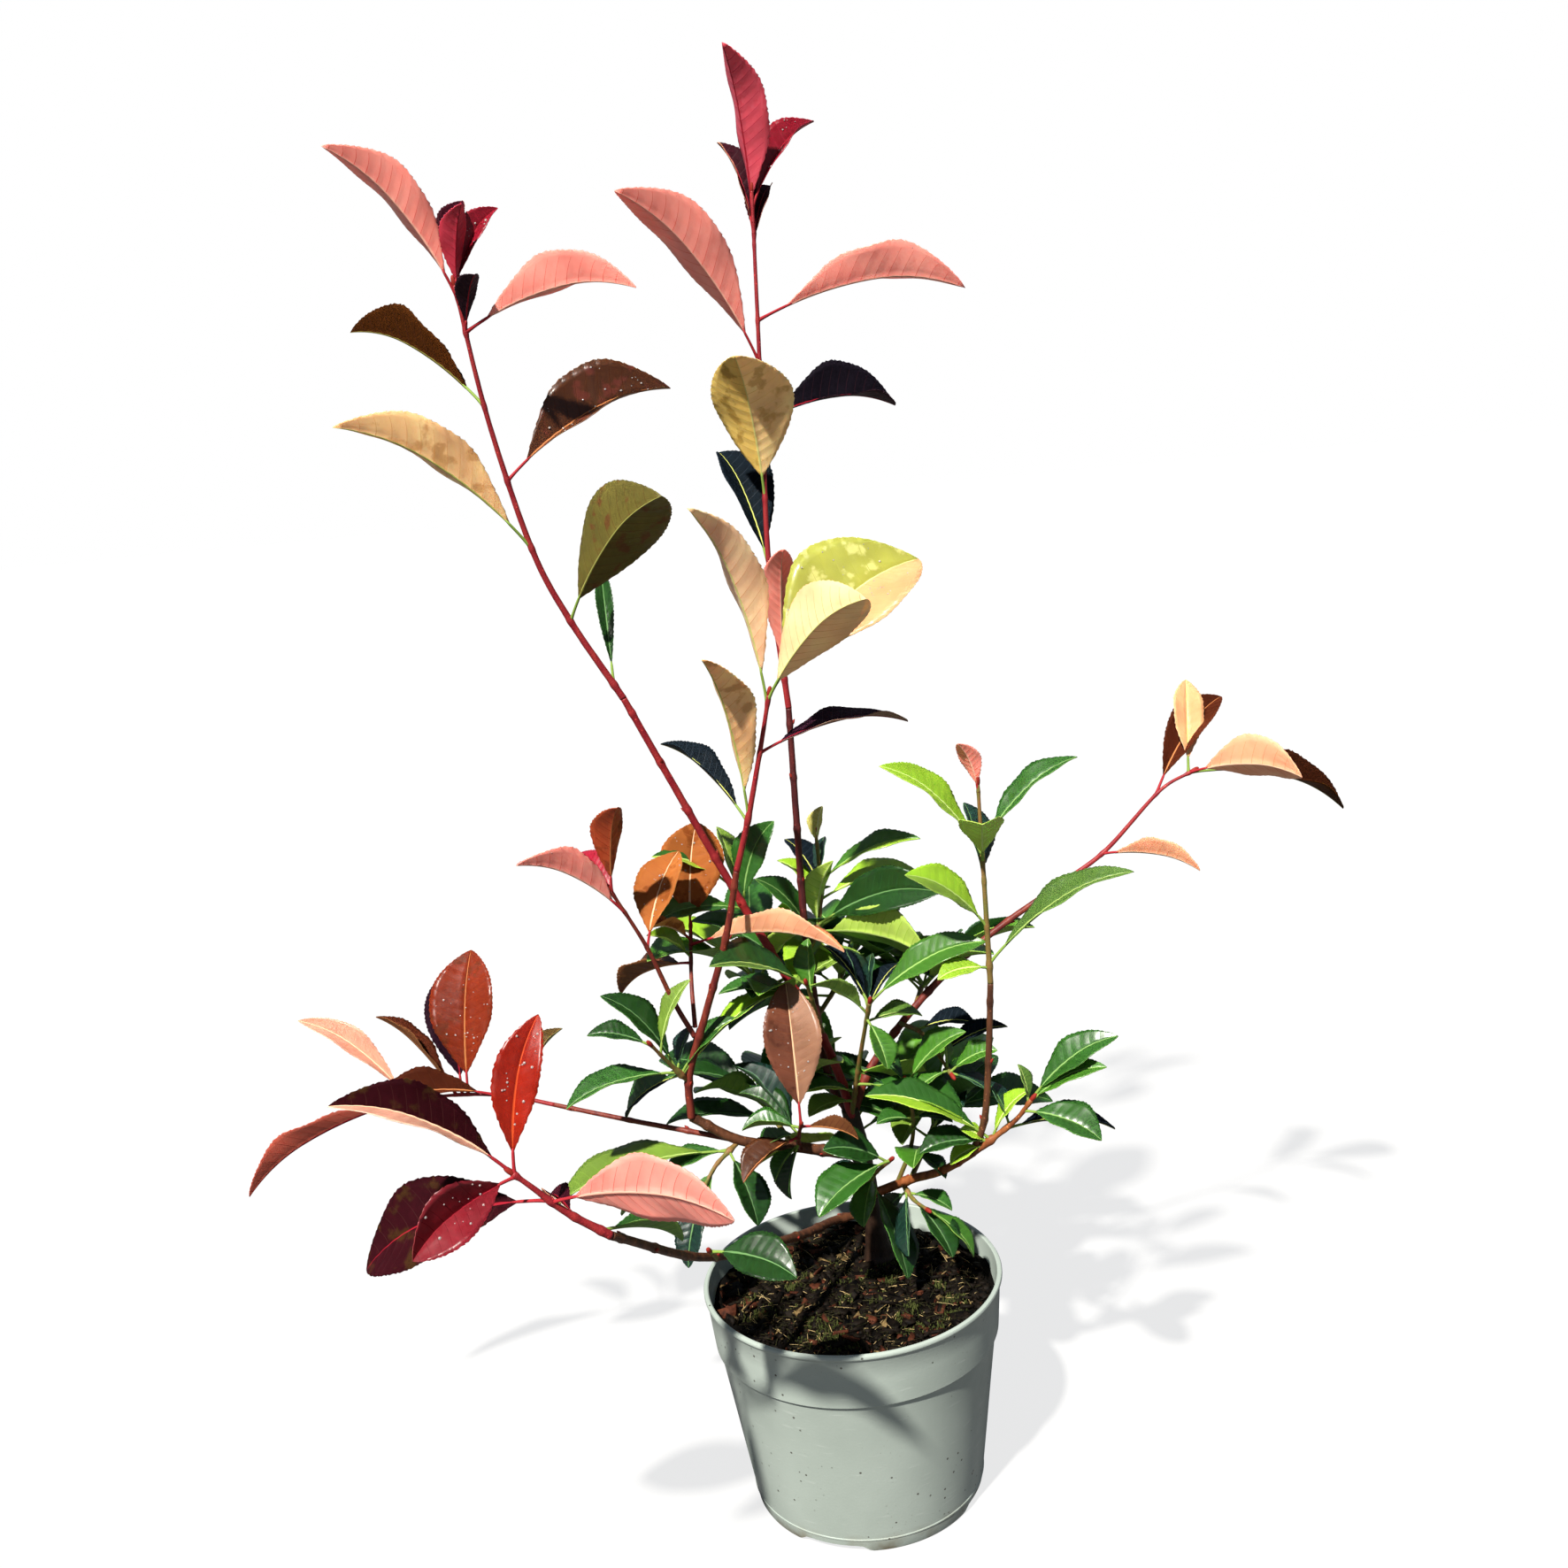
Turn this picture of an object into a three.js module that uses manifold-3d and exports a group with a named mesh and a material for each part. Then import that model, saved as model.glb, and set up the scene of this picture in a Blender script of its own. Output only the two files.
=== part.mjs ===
// Photinia 'red robin' in a nursery pot: a young multi-stemmed shrub.
// Millimetres, +Z up, origin at the middle of the pot's flat underside, -Y is the front.
import * as THREE from 'three';
import Module from 'manifold-3d';
import { mergeVertices } from 'three/addons/utils/BufferGeometryUtils.js';

const wasm = await Module();
wasm.setup();

// Pot
const POT_HEIGHT = 146;
const RIM_RADIUS = 95;
const LIP_HEIGHT = 3.5;
const LIP_DEPTH = 1.2;
const COLLAR_HEIGHT = 36;
const COLLAR_TAPER = 3;
const COLLAR_STEP = 3.2;
const BASE_RADIUS = 73.5;
const WALL = 2;
const FLOOR = 7;
const EDGE_ROUND = 1.5;
const ARCH_COUNT = 4;
const ARCH_FIRST = -20.7;
const ARCH_SPAN = 34;
const ARCH_HEIGHT = 4.5;
const ARCH_DEPTH = 9;
const POT_SIDES = 48;

// Compost
const GAP = 0.3;
const SOIL_TOP = 132;
const SOIL_RINGS = 7;
const SOIL_SIDES = 36;
const SOIL_RELIEF = 3.5;
const SOIL_FLAT = 22;
const SOIL_SHRINK = 1;

// Limbs and leaves
const FLARE = 5;
const FLARE_HEIGHT = 9;
const LIMB_STEP = 18;
const LIMB_SIDES = 8;
const STEM_SIDES = 5;
const PETIOLE_SHARE = 0.14;
const PETIOLE_RADIUS = 0.9;
const BLADE_STATIONS = [0.32, 0.56, 0.82];
const BLADE_SHARE = 0.42;
const LEAF_ARCH = 0.07;
const LEAF_THICKNESS = 0.013;
const YOUNG_FOLD = 42;
const OLD_FOLD = 22;
const TURN = 137.5;
const LEAF_CLEARANCE = 5;
const TRY_TURN = 50;
const TRIES = 7;
const SHRINKS = [1, 0.82, 0.66];

// Each limb: the bends of its axis from foot to tip, and its radius at both.
const LIMBS = {
  trunk: {
    bends: [[20, 38, 128], [17, 37, 163], [14, 36, 202], [8, 38, 240]],
    foot: 7,
    tip: 5.6,
    sides: 12,
  },
  tall_left_bough: {
    bends: [[9, 35, 236], [3, 31, 267], [-7, 30, 298], [-27, 28, 342], [-53, 22, 401], [-104, 2, 526]],
    foot: 3,
    tip: 2,
  },
  tall_centre_bough: {
    bends: [[6, 41, 238], [-4, 47, 262], [-10, 46, 344], [-10, 48, 400], [-8, 48, 504]],
    foot: 2.8,
    tip: 1.9,
  },
  slanting_bough: {
    bends: [[10, 38, 236], [25, 46, 265], [63, 58, 305], [109, 66, 340], [162, 74, 370]],
    foot: 2.8,
    tip: 1.8,
  },
  mid_bough_base: {
    bends: [[14, 35, 208], [-28, 24, 223], [-64, 16, 235], [-92, 10, 256]],
    foot: 3.8,
    tip: 2.9,
  },
  mid_bough: {
    bends: [[-92, 9, 256], [-90, 6, 286], [-75, 0, 328], [-58, -6, 376], [-47, -12, 419]],
    foot: 2.6,
    tip: 1.9,
  },
  far_left_twig: {
    bends: [[-70, 17, 236], [-132, 26, 250], [-182, 34, 262]],
    foot: 1.8,
    tip: 1.4,
  },
  low_left_bough: {
    bends: [[17, 35, 168], [-8, 16, 174], [-31, -30, 190], [-78, -123, 232], [-117, -196, 288]],
    foot: 2.8,
    tip: 2.2,
  },
  low_right_bough: {
    bends: [[16, 34, 180], [43, 14, 199], [62, -2, 211], [81, -16, 228]],
    foot: 3.2,
    tip: 2.3,
  },
  right_bough: {
    bends: [[80, -15, 227], [89, -22, 254], [94, -26, 302], [97, -28, 341]],
    foot: 2.2,
    tip: 1.8,
  },
};

// Each mass: the bends of its stem, the radius at foot and tip, and how far its blades fold up.
// A leaf row holds its place along the stem, compass bearing, rise and length, then its roll
// (0 when left out), its width as a share of its length, and a fold of its own.
// fill is the number of leaves that grow by rule, from a seed.
const MASSES = {
  tall_left_top: {
    bends: [[-104, 2, 526], [-129, -4, 575], [-145, -10, 618], [-159, -20, 693], [-166, -28, 762]],
    foot: 2.1,
    tip: 1.1,
    fold: YOUNG_FOLD,
    leaves: [
      [0.04, 97, 58, 80, 0, 0.18], [0.22, 321, 42, 106, -60, 0.56], [0.41, 210, 39, 126, 35, 0.33],
      [0.57, 26, 26, 113, 40, 0.46], [0.74, 148, 31, 108, 35, 0.37], [0.9, 335, 8, 109, -35, 0.34],
      [0.9, 295, 40, 42], [0.97, 211, 54, 99, 35, 0.34], [0.98, 300, 62, 49], [0.99, 79, 66, 55],
      [0.99, 41, 56, 54, 40],
    ],
  },
  tall_left_middle: {
    bends: [[-27, 29, 342], [-41, 44, 365], [-55, 58, 391]],
    foot: 1.7,
    tip: 1.1,
    fold: OLD_FOLD,
    leaves: [
      [0.98, 205, 33, 60, -30, 0.28], [0.88, 110, 55, 50, 40, 0.48], [0.75, 340, 68, 62, 70, 0.46],
      [0.72, 207, 7, 62, -25, 0.38], [0.15, 166, 27, 58, -5, 0.55],
    ],
  },
  tall_centre_top: {
    bends: [[-8, 48, 504], [-12, 50, 592], [-8, 54, 681], [-4, 56, 768], [-2, 57, 810]],
    foot: 2,
    tip: 1,
    fold: YOUNG_FOLD,
    leaves: [
      [0.06, 278, 63, 94, 0, 0.3], [0.28, 116, 54, 94, 0, 0.46], [0.42, 257, 66, 92, 0, 0.6, 25],
      [0.57, 30, 5, 97, 40, 0.46], [0.68, 217, 50, 130, 35, 0.35], [0.76, 21, 8, 140, -35, 0.31],
      [0.94, 252, 77, 97, -20, 0.36], [0.97, 33, 48, 69, 30], [0.92, 130, 68, 62, 0, 0.35], [0.9, 69, 49, 52],
    ],
  },
  tall_centre_middle: {
    bends: [[-11, 47, 342], [-1, 60, 362], [2, 68, 392], [2, 72, 418]],
    foot: 1.7,
    tip: 1.1,
    fold: OLD_FOLD,
    leaves: [
      [0.27, 327, 21, 95, 60, 0.35], [0.25, 19, 74, 45, -60, 0.6], [0.61, 343, 25, 74, 25, 0.28],
      [0.47, 12, 10, 68, 10, 0.44], [0.89, 46, 75, 26, -90, 0.6], [0.58, 128, 42, 42, 10, 0.6],
      [0.63, 76, 47, 32, -40, 0.6], [0.22, 325, -4, 85, -60, 0.54], [0.47, 157, 46, 38, 0, 0.58],
      [0.25, 18, 8, 86, 10, 0.4], [0.15, 204, 56, 60, -50, 0.36],
    ],
  },
  mid_top: {
    bends: [[-47, -12, 419], [-37, -16, 451], [-27, -20, 488], [-18, -24, 524]],
    foot: 2,
    tip: 1.2,
    fold: YOUNG_FOLD,
    leaves: [
      [0.29, 139, 36, 79, 0, 0.3], [0.32, 252, 67, 111, -20, 0.31], [0.68, 25, 5, 99, 0, 0.4, 12],
      [0.95, 236, 67, 128, 0, 0.28], [0.97, 317, 39, 98, -60, 0.52], [0.99, 27, 35, 126, 40, 0.6, 25],
    ],
  },
  side_coral: {
    bends: [[-84, 3, 312], [-95, 0, 339], [-106, -8, 376], [-122, -18, 415]],
    foot: 1.7,
    tip: 1,
    fold: YOUNG_FOLD,
    leaves: [
      [0.85, 214, 37, 78, 30, 0.4], [0.99, 294, 65, 64], [0.97, 127, 35, 40], [0.6, 57, 54, 64, 0, 0.55, 20],
    ],
  },
  side_orange: {
    bends: [[-83, 3, 318], [-84, 22, 341], [-82, 34, 372]],
    foot: 1.5,
    tip: 1,
    fold: YOUNG_FOLD,
    leaves: [
      [0.95, 75, 66, 72, 25, 0.6, 15], [0.84, 328, 6, 112, -35, 0.28], [0.89, 236, 30, 42],
      [0.66, 143, -22, 71], [0.72, 194, 38, 32, -25, 0.56],
    ],
  },
  side_green: {
    bends: [[-91, 7, 281], [-101, -4, 299], [-109, -14, 315]],
    foot: 1.6,
    tip: 1,
    fold: OLD_FOLD,
    leaves: [
      [0.33, 189, 56, 68, -30, 0.38], [0.98, 180, 18, 40, -15, 0.5], [0.26, 195, -5, 72, -5, 0.4],
      [0.75, 16, 65, 50, 15, 0.36], [0.18, 8, 35, 88, 5, 0.27], [0.2, 6, 43, 50, 15, 0.42],
      [0.3, 59, 50, 30, -25, 0.58], [0.2, 159, -34, 52, -25, 0.58],
    ],
  },
  far_left: {
    bends: [[-182, 34, 262], [-211, 38, 269], [-242, 42, 271], [-280, 44, 270]],
    foot: 1.4,
    tip: 0.9,
    fold: YOUNG_FOLD,
    leaves: [
      [0.58, 82, 68, 94, 0, 0.5, 20], [0.62, 100, 62, 84, 0, 0.45], [0.66, 150, 40, 78, 20, 0.25],
      [0.98, 174, 44, 88, -40, 0.26], [0.99, 193, -21, 116, 30, 0.26], [0.25, 49, 39, 54, 0, 0.4],
      [0.4, 195, 8, 77, -30, 0.4],
    ],
  },
  low_left: {
    bends: [[-117, -196, 288], [-136, -203, 306], [-150, -208, 323], [-158, -210, 332]],
    foot: 2.3,
    tip: 1.2,
    fold: YOUNG_FOLD,
    leaves: [
      [0.62, 162, -20, 120, -50, 0.38, 15], [0.96, 220, -16, 61, -60, 0.6], [0.99, 196, 36, 94, -35, 0.35],
      [0.98, 52, 72, 77, 35, 0.33, 20], [0.59, 334, 6, 101, -75, 0.42, 10],
      [0.36, 118, -5, 40], [0.1, 38, -25, 52],
    ],
  },
  rim_left: {
    bends: [[-66, 15, 233], [-79, 2, 226], [-87, -8, 217]],
    foot: 1.6,
    tip: 1,
    fold: OLD_FOLD,
    leaves: [
      [0.2, 185, -9, 115, 0, 0.37], [0.15, 187, -15, 46, -5, 0.58], [0.2, 297, -45, 50, -20, 0.58],
      [0.5, 215, -61, 52, -10, 0.58], [0.98, 245, -50, 50], [0.99, 160, -20, 66],
    ],
  },
  front_bronze: {
    bends: [[-26, 23, 222], [-26, 2, 239], [-23, -18, 257]],
    foot: 1.6,
    tip: 1,
    fold: YOUNG_FOLD,
    leaves: [
      [0.99, 94, 74, 88, 0, 0.45, 25], [0.56, 215, -17, 46, -5, 0.6], [0.94, 353, -12, 36, -55, 0.48],
      [0.25, 224, -32, 28, 5, 0.6], [0.9, 177, 4, 36, -5, 0.6], [0.56, 148, 46, 61, 5, 0.5],
      [0.64, 155, 34, 46, 0, 0.6], [0.3, 222, -70, 36, 5, 0.6], [0.72, 158, -29, 34, -30, 0.58],
    ],
  },
  centre_left: {
    bends: [[-5, 30, 296], [-8, 18, 316], [-12, 4, 339]],
    foot: 1.6,
    tip: 1,
    fold: OLD_FOLD,
    leaves: [
      [0.99, 202, 25, 66, -15, 0.6], [0.71, 176, 10, 58, -10, 0.38], [0.69, 85, 75, 38, -45, 0.6],
    ],
  },
  centre_front: {
    bends: [[9, 34, 238], [17, 10, 286], [25, -16, 331]],
    foot: 1.8,
    tip: 1.1,
    fold: OLD_FOLD,
    leaves: [
      [0.99, 350, 30, 81, 40, 0.3], [0.98, 134, 45, 47, 15, 0.48], [0.94, 107, 45, 44, 40, 0.52],
      [0.92, 79, 42, 41, -45, 0.55], [0.95, 43, 36, 36, -15, 0.6], [0.9, 212, 39, 48, 25, 0.44],
      [0.86, 294, -45, 34, -15, 0.6], [0.83, 14, -1, 36, 10, 0.58], [0.27, 326, -5, 76, 0, 0.5],
      [0.12, 220, 7, 38, -5, 0.6], [0.2, 202, 17, 34, -10, 0.55], [0.38, 11, -36, 30, 20, 0.58],
    ],
  },
  trunk_front: {
    bends: [[17, 37, 185], [19, 12, 205], [30, -8, 224]],
    foot: 1.8,
    tip: 1.1,
    fold: OLD_FOLD,
    leaves: [
      [0.99, 216, -13, 60, -5, 0.58], [0.55, 253, -27, 38, 25, 0.6], [0.3, 291, -42, 66, -30, 0.44],
      [0.93, 200, 27, 46, -35, 0.58], [0.65, 163, -18, 40, -20, 0.58], [0.45, 150, 40, 34, 0, 0.58],
    ],
  },
  low_right: {
    bends: [[81, -16, 228], [106, -24, 250], [117, -28, 265]],
    foot: 2.2,
    tip: 1.1,
    fold: OLD_FOLD,
    leaves: [
      [0.99, 353, 39, 66, 30, 0.38], [0.94, 342, 31, 54, 25, 0.38], [0.83, 328, -10, 50, 15, 0.6],
      [0.5, 13, -8, 73, 0, 0.4], [0.3, 350, 55, 40, 20, 0.44], [0.94, 114, 70, 24, 30, 0.58],
      [0.57, 135, 60, 30, 15, 0.6], [0.25, 190, 2, 44, -10, 0.6], [0.16, 200, -14, 24, -15, 0.6],
      [0.22, 189, 38, 20, -40, 0.6], [0.28, 185, 30, 84, -20, 0.34],
    ],
  },
  right_top: {
    bends: [[97, -28, 341], [97, -29, 369], [97, -30, 410], [97, -31, 463]],
    foot: 1.8,
    tip: 1,
    fold: OLD_FOLD,
    leaves: [
      [0.1, 348, 35, 101, 15, 0.28], [0.08, 200, 2, 34, -25, 0.52], [0.29, 200, 42, 64, -45, 0.4],
      [0.65, 197, 49, 85, -40, 0.28], [0.69, 10, 40, 76, 10, 0.32], [0.62, 265, 39, 56, 0, 0.5],
      [0.52, 102, 59, 50, 40, 0.6], [0.96, 219, 68, 34, 30],
    ],
  },
  right_tip: {
    bends: [[162, 74, 370], [190, 76, 388], [226, 78, 423], [248, 80, 434]],
    foot: 1.7,
    tip: 1,
    fold: YOUNG_FOLD,
    leaves: [
      [0.27, 330, -4, 64, -30, 0.4], [0.75, 36, 41, 86, 30, 0.4], [0.98, 75, 60, 66, 30, 0.36, 15],
      [0.99, 320, 4, 74, -60, 0.55, 25], [0.99, 17, -17, 123, 35, 0.28],
    ],
  },
  right_bush: {
    bends: [[46, 52, 290], [59, 28, 290], [72, -2, 275]],
    foot: 1.6,
    tip: 1,
    fold: OLD_FOLD,
    leaves: [
      [0.3, 345, 10, 38, 10, 0.6], [0.98, 343, 30, 34, 25, 0.6], [0.92, 86, 72, 20, 60, 0.58],
      [0.95, 205, -17, 24, 0, 0.58], [0.99, 348, -29, 28, 5, 0.6], [0.75, 10, 18, 47, 5, 0.46],
    ],
  },
  low_bush: {
    bends: [[34, 21, 193], [44, 14, 220], [47, 8, 243], [44, 4, 269]],
    foot: 1.6,
    tip: 1,
    fold: OLD_FOLD,
    leaves: [
      [0.98, 351, 44, 52, 20, 0.5], [0.99, 137, 33, 28, 10, 0.6], [0.68, 336, 2, 26, 5, 0.6],
      [0.66, 204, 12, 26, -15, 0.6], [0.35, 317, -20, 30, -10, 0.6],
    ],
  },
  low_front: {
    bends: [[37, 18, 195], [43, 4, 190], [50, -10, 190]],
    foot: 1.5,
    tip: 1,
    fold: OLD_FOLD,
    leaves: [
      [0.2, 265, -30, 46, 60, 0.5], [0.5, 304, -33, 44, -15, 0.6], [0.99, 352, -48, 43, 10, 0.44],
      [0.3, 332, -11, 30, 0, 0.6], [0.25, 144, -50, 30, -60, 0.55],
    ],
  },
  rim_front: {
    bends: [[-74, -118, 228], [-76, -128, 238]],
    foot: 1.4,
    tip: 1,
    fold: OLD_FOLD,
    leaves: [
      [0.95, 330, -2, 54, 30, 0.55],
    ],
  },
  back_left: {
    bends: [[-8, 30, 298], [-32, 60, 312], [-56, 84, 328]],
    foot: 1.8,
    tip: 1,
    fold: OLD_FOLD,
    fill: 9,
    seed: 37,
  },
  back_right: {
    bends: [[58, 57, 302], [64, 86, 302], [68, 112, 292]],
    foot: 1.8,
    tip: 1,
    fold: OLD_FOLD,
    fill: 9,
    seed: 18,
  },
  back_centre: {
    bends: [[-10, 47, 298], [10, 88, 312], [20, 120, 328]],
    foot: 1.8,
    tip: 1,
    fold: OLD_FOLD,
    fill: 9,
    seed: 34,
  },
  back_low: {
    bends: [[15, 37, 196], [12, 78, 214], [8, 112, 236]],
    foot: 1.8,
    tip: 1,
    fold: OLD_FOLD,
    fill: 9,
    seed: 8,
  },
  back_low_left: {
    bends: [[-30, 25, 223], [-44, 58, 232], [-60, 86, 246]],
    foot: 1.8,
    tip: 1,
    fold: OLD_FOLD,
    fill: 9,
    seed: 16,
  },
  back_low_right: {
    bends: [[43, 15, 199], [60, 48, 214], [74, 78, 232]],
    foot: 1.8,
    tip: 1,
    fold: OLD_FOLD,
    fill: 9,
    seed: 14,
  },
};

// Leaves that grow by rule: their mean rise, least length and the spread of both, and of their roll.
const FILL_RISE = 16;
const FILL_RISE_SPREAD = 44;
const FILL_LENGTH = 60;
const FILL_LENGTH_SPREAD = 34;
const FILL_ROLL = 60;

const bark = { color: 0x6a3a22, roughness: 0.7, metalness: 0 };
const foliage = { color: 0x2f6b2a, roughness: 0.4, metalness: 0 };
const newFoliage = { color: 0xb4543c, roughness: 0.4, metalness: 0 };
const plastic = { color: 0xb9c2b6, roughness: 0.45, metalness: 0 };
const compost = { color: 0x1e1713, roughness: 0.95, metalness: 0 };

// --- Solids -------------------------------------------------------------------------------

function solidOfGeometry(geometry) {
  const bare = geometry.clone();
  bare.deleteAttribute('normal');
  bare.deleteAttribute('uv');
  const merged = mergeVertices(bare, 1e-4);
  return new wasm.Manifold(new wasm.Mesh({
    numProp: 3,
    vertProperties: Float32Array.from(merged.attributes.position.array),
    triVerts: Uint32Array.from(merged.index.array),
  }));
}

function solidOfRings(rings, footPoint, tipPoint) {
  // Rings of equal length, closed by a fan to one point at either end.
  const positions = [footPoint, ...rings.flat(), tipPoint];
  const sides = rings[0].length;
  const last = positions.length - 1;
  const index = [];
  for (let side = 0; side < sides; side += 1) {
    const next = (side + 1) % sides;
    index.push(0, 1 + next, 1 + side);
    for (let ring = 0; ring + 1 < rings.length; ring += 1) {
      const low = 1 + ring * sides;
      const high = low + sides;
      index.push(low + side, low + next, high + next);
      index.push(low + side, high + next, high + side);
    }
    index.push(last, last - sides + side, last - sides + next);
  }
  const geometry = new THREE.BufferGeometry();
  const numbers = positions.flatMap((point) => point.toArray());
  geometry.setAttribute('position', new THREE.Float32BufferAttribute(numbers, 3));
  geometry.setIndex(index);
  return solidOfGeometry(geometry);
}

function wholeOf(solid) {
  // The largest piece of a solid: loose scraps and sealed hollows are left out.
  const pieces = solid.decompose();
  return pieces.reduce((best, piece) => (piece.volume() > best.volume() ? piece : best));
}

function meshOf(name, solid, look) {
  const { vertProperties, triVerts } = solid.getMesh();
  const geometry = new THREE.BufferGeometry();
  geometry.setAttribute('position', new THREE.BufferAttribute(vertProperties, 3));
  geometry.setIndex(new THREE.BufferAttribute(triVerts, 1));
  geometry.computeVertexNormals();
  const mesh = new THREE.Mesh(geometry, new THREE.MeshStandardMaterial(look));
  mesh.name = name;
  return mesh;
}

// --- Pot and compost ----------------------------------------------------------------------

function potOuterRadius(height) {
  const collarFoot = POT_HEIGHT - COLLAR_HEIGHT;
  if (height < collarFoot) {
    const bodyTop = RIM_RADIUS - COLLAR_TAPER - COLLAR_STEP;
    return BASE_RADIUS + (bodyTop - BASE_RADIUS) * height / collarFoot;
  }
  return RIM_RADIUS - LIP_DEPTH - COLLAR_TAPER * (POT_HEIGHT - height) / COLLAR_HEIGHT;
}

function potSolid() {
  const collarFoot = POT_HEIGHT - COLLAR_HEIGHT;
  const bodyTop = potOuterRadius(collarFoot - 0.01);
  const collarLow = potOuterRadius(collarFoot);
  const lipFoot = POT_HEIGHT - LIP_HEIGHT;
  const outline = [
    [0, 0],
    [BASE_RADIUS - EDGE_ROUND, 0],
    [BASE_RADIUS, EDGE_ROUND],
    [bodyTop, collarFoot - COLLAR_STEP],
    [collarLow, collarFoot],
    [potOuterRadius(lipFoot), lipFoot],
    [RIM_RADIUS, lipFoot + LIP_DEPTH],
    [RIM_RADIUS, POT_HEIGHT - LIP_DEPTH],
    [RIM_RADIUS - LIP_DEPTH, POT_HEIGHT],
    [RIM_RADIUS - WALL - LIP_DEPTH, POT_HEIGHT],
    [collarLow - WALL, collarFoot],
    [bodyTop - WALL, collarFoot - COLLAR_STEP],
    [potOuterRadius(FLOOR) - WALL, FLOOR],
    [0, FLOOR],
  ];
  const points = outline.map(([radius, height]) => new THREE.Vector2(radius, height));
  const shell = new THREE.LatheGeometry(points, POT_SIDES).rotateX(Math.PI / 2);
  let pot = solidOfGeometry(shell);
  for (let arch = 0; arch < ARCH_COUNT; arch += 1) {
    pot = pot.subtract(archSolid(ARCH_FIRST + arch * 360 / ARCH_COUNT));
  }
  return pot;
}

function archSolid(bearing) {
  // A drainage arch: a low notch with sloping ends through the foot of the wall.
  const half = Math.tan(THREE.MathUtils.degToRad(ARCH_SPAN / 2)) * BASE_RADIUS;
  const profile = new THREE.Shape([
    new THREE.Vector2(-half - ARCH_HEIGHT, -1),
    new THREE.Vector2(half + ARCH_HEIGHT, -1),
    new THREE.Vector2(half - ARCH_HEIGHT, ARCH_HEIGHT),
    new THREE.Vector2(ARCH_HEIGHT - half, ARCH_HEIGHT),
  ]);
  const notch = new THREE.ExtrudeGeometry(profile, { depth: 2 * BASE_RADIUS, bevelEnabled: false });
  notch.rotateX(Math.PI / 2);
  notch.translate(0, -BASE_RADIUS * Math.cos(THREE.MathUtils.degToRad(ARCH_SPAN / 2)) + ARCH_DEPTH, 0);
  notch.rotateZ(THREE.MathUtils.degToRad(bearing));
  return solidOfGeometry(notch);
}

function soilRelief(x, y) {
  // Gentle lumps that die away to a flat patch under the trunk.
  const [footX, footY] = LIMBS.trunk.bends[0];
  const away = Math.min(1, Math.max(0, Math.hypot(x - footX, y - footY) / SOIL_FLAT - 1));
  const lumps = Math.sin(0.11 * x + 1.7) * Math.cos(0.13 * y) + Math.sin(0.27 * x - 0.19 * y) / 2;
  return away * SOIL_RELIEF * (lumps - 0.3) / 1.5;
}

function soilSolid() {
  const wallRadius = (height) => potOuterRadius(height) - WALL - GAP;
  const collarFoot = POT_HEIGHT - COLLAR_HEIGHT;
  const topRadius = wallRadius(SOIL_TOP) - SOIL_SHRINK;
  const circle = (radius, heightAt) => Array.from({ length: SOIL_SIDES }, (_, side) => {
    const angle = 2 * Math.PI * side / SOIL_SIDES;
    const x = radius * Math.cos(angle);
    const y = radius * Math.sin(angle);
    return new THREE.Vector3(x, y, heightAt(x, y));
  });
  const rings = [
    circle(wallRadius(FLOOR + GAP), () => FLOOR + GAP),
    circle(wallRadius(collarFoot - COLLAR_STEP), () => collarFoot - COLLAR_STEP),
    circle(wallRadius(collarFoot) - SOIL_SHRINK, () => collarFoot),
  ];
  for (let ring = SOIL_RINGS; ring > 0; ring -= 1) {
    rings.push(circle(topRadius * ring / SOIL_RINGS, (x, y) => SOIL_TOP + soilRelief(x, y)));
  }
  const foot = new THREE.Vector3(0, 0, FLOOR + GAP);
  return solidOfRings(rings, foot, new THREE.Vector3(0, 0, SOIL_TOP + soilRelief(0, 0)));
}

// --- Limbs --------------------------------------------------------------------------------

function axisOf(limb) {
  const bends = limb.bends.map((bend) => new THREE.Vector3(...bend));
  return new THREE.CatmullRomCurve3(bends, false, 'catmullrom', 0.5);
}

function radiusAt(limb, share, height) {
  const flare = limb === LIMBS.trunk ? FLARE * Math.exp(-(height - SOIL_TOP) / FLARE_HEIGHT) : 0;
  return THREE.MathUtils.lerp(limb.foot, limb.tip, share) + flare;
}

function limbSolid(limb, grow = 0) {
  // A tapering round limb. Growing it makes the room that its neighbours leave free.
  const axis = axisOf(limb);
  const steps = Math.max(2, Math.round(axis.getLength() / LIMB_STEP));
  const { normals, binormals, tangents } = axis.computeFrenetFrames(steps, false);
  const sides = limb.sides ?? STEM_SIDES;
  const rings = [];
  for (let step = 0; step <= steps; step += 1) {
    const centre = axis.getPointAt(step / steps);
    if (step === 0) centre.addScaledVector(tangents[0], -grow);
    if (step === steps) centre.addScaledVector(tangents[steps], grow);
    const radius = (radiusAt(limb, step / steps, centre.z) + grow) / Math.cos(Math.PI / sides * (grow > 0));
    rings.push(Array.from({ length: sides }, (_, side) => {
      const angle = 2 * Math.PI * side / sides;
      return centre.clone()
        .addScaledVector(normals[step], radius * Math.cos(angle))
        .addScaledVector(binormals[step], radius * Math.sin(angle));
    }));
  }
  const middle = (ring) => ring.reduce((sum, p) => sum.add(p), new THREE.Vector3()).divideScalar(sides);
  return solidOfRings(rings, middle(rings[0]), middle(rings[steps]));
}

function belowGround() {
  const block = new THREE.BoxGeometry(80, 80, 40);
  const [footX, footY] = LIMBS.trunk.bends[0];
  block.translate(footX, footY, SOIL_TOP + GAP - 20);
  return solidOfGeometry(block);
}

// --- Leaves -------------------------------------------------------------------------------

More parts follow.
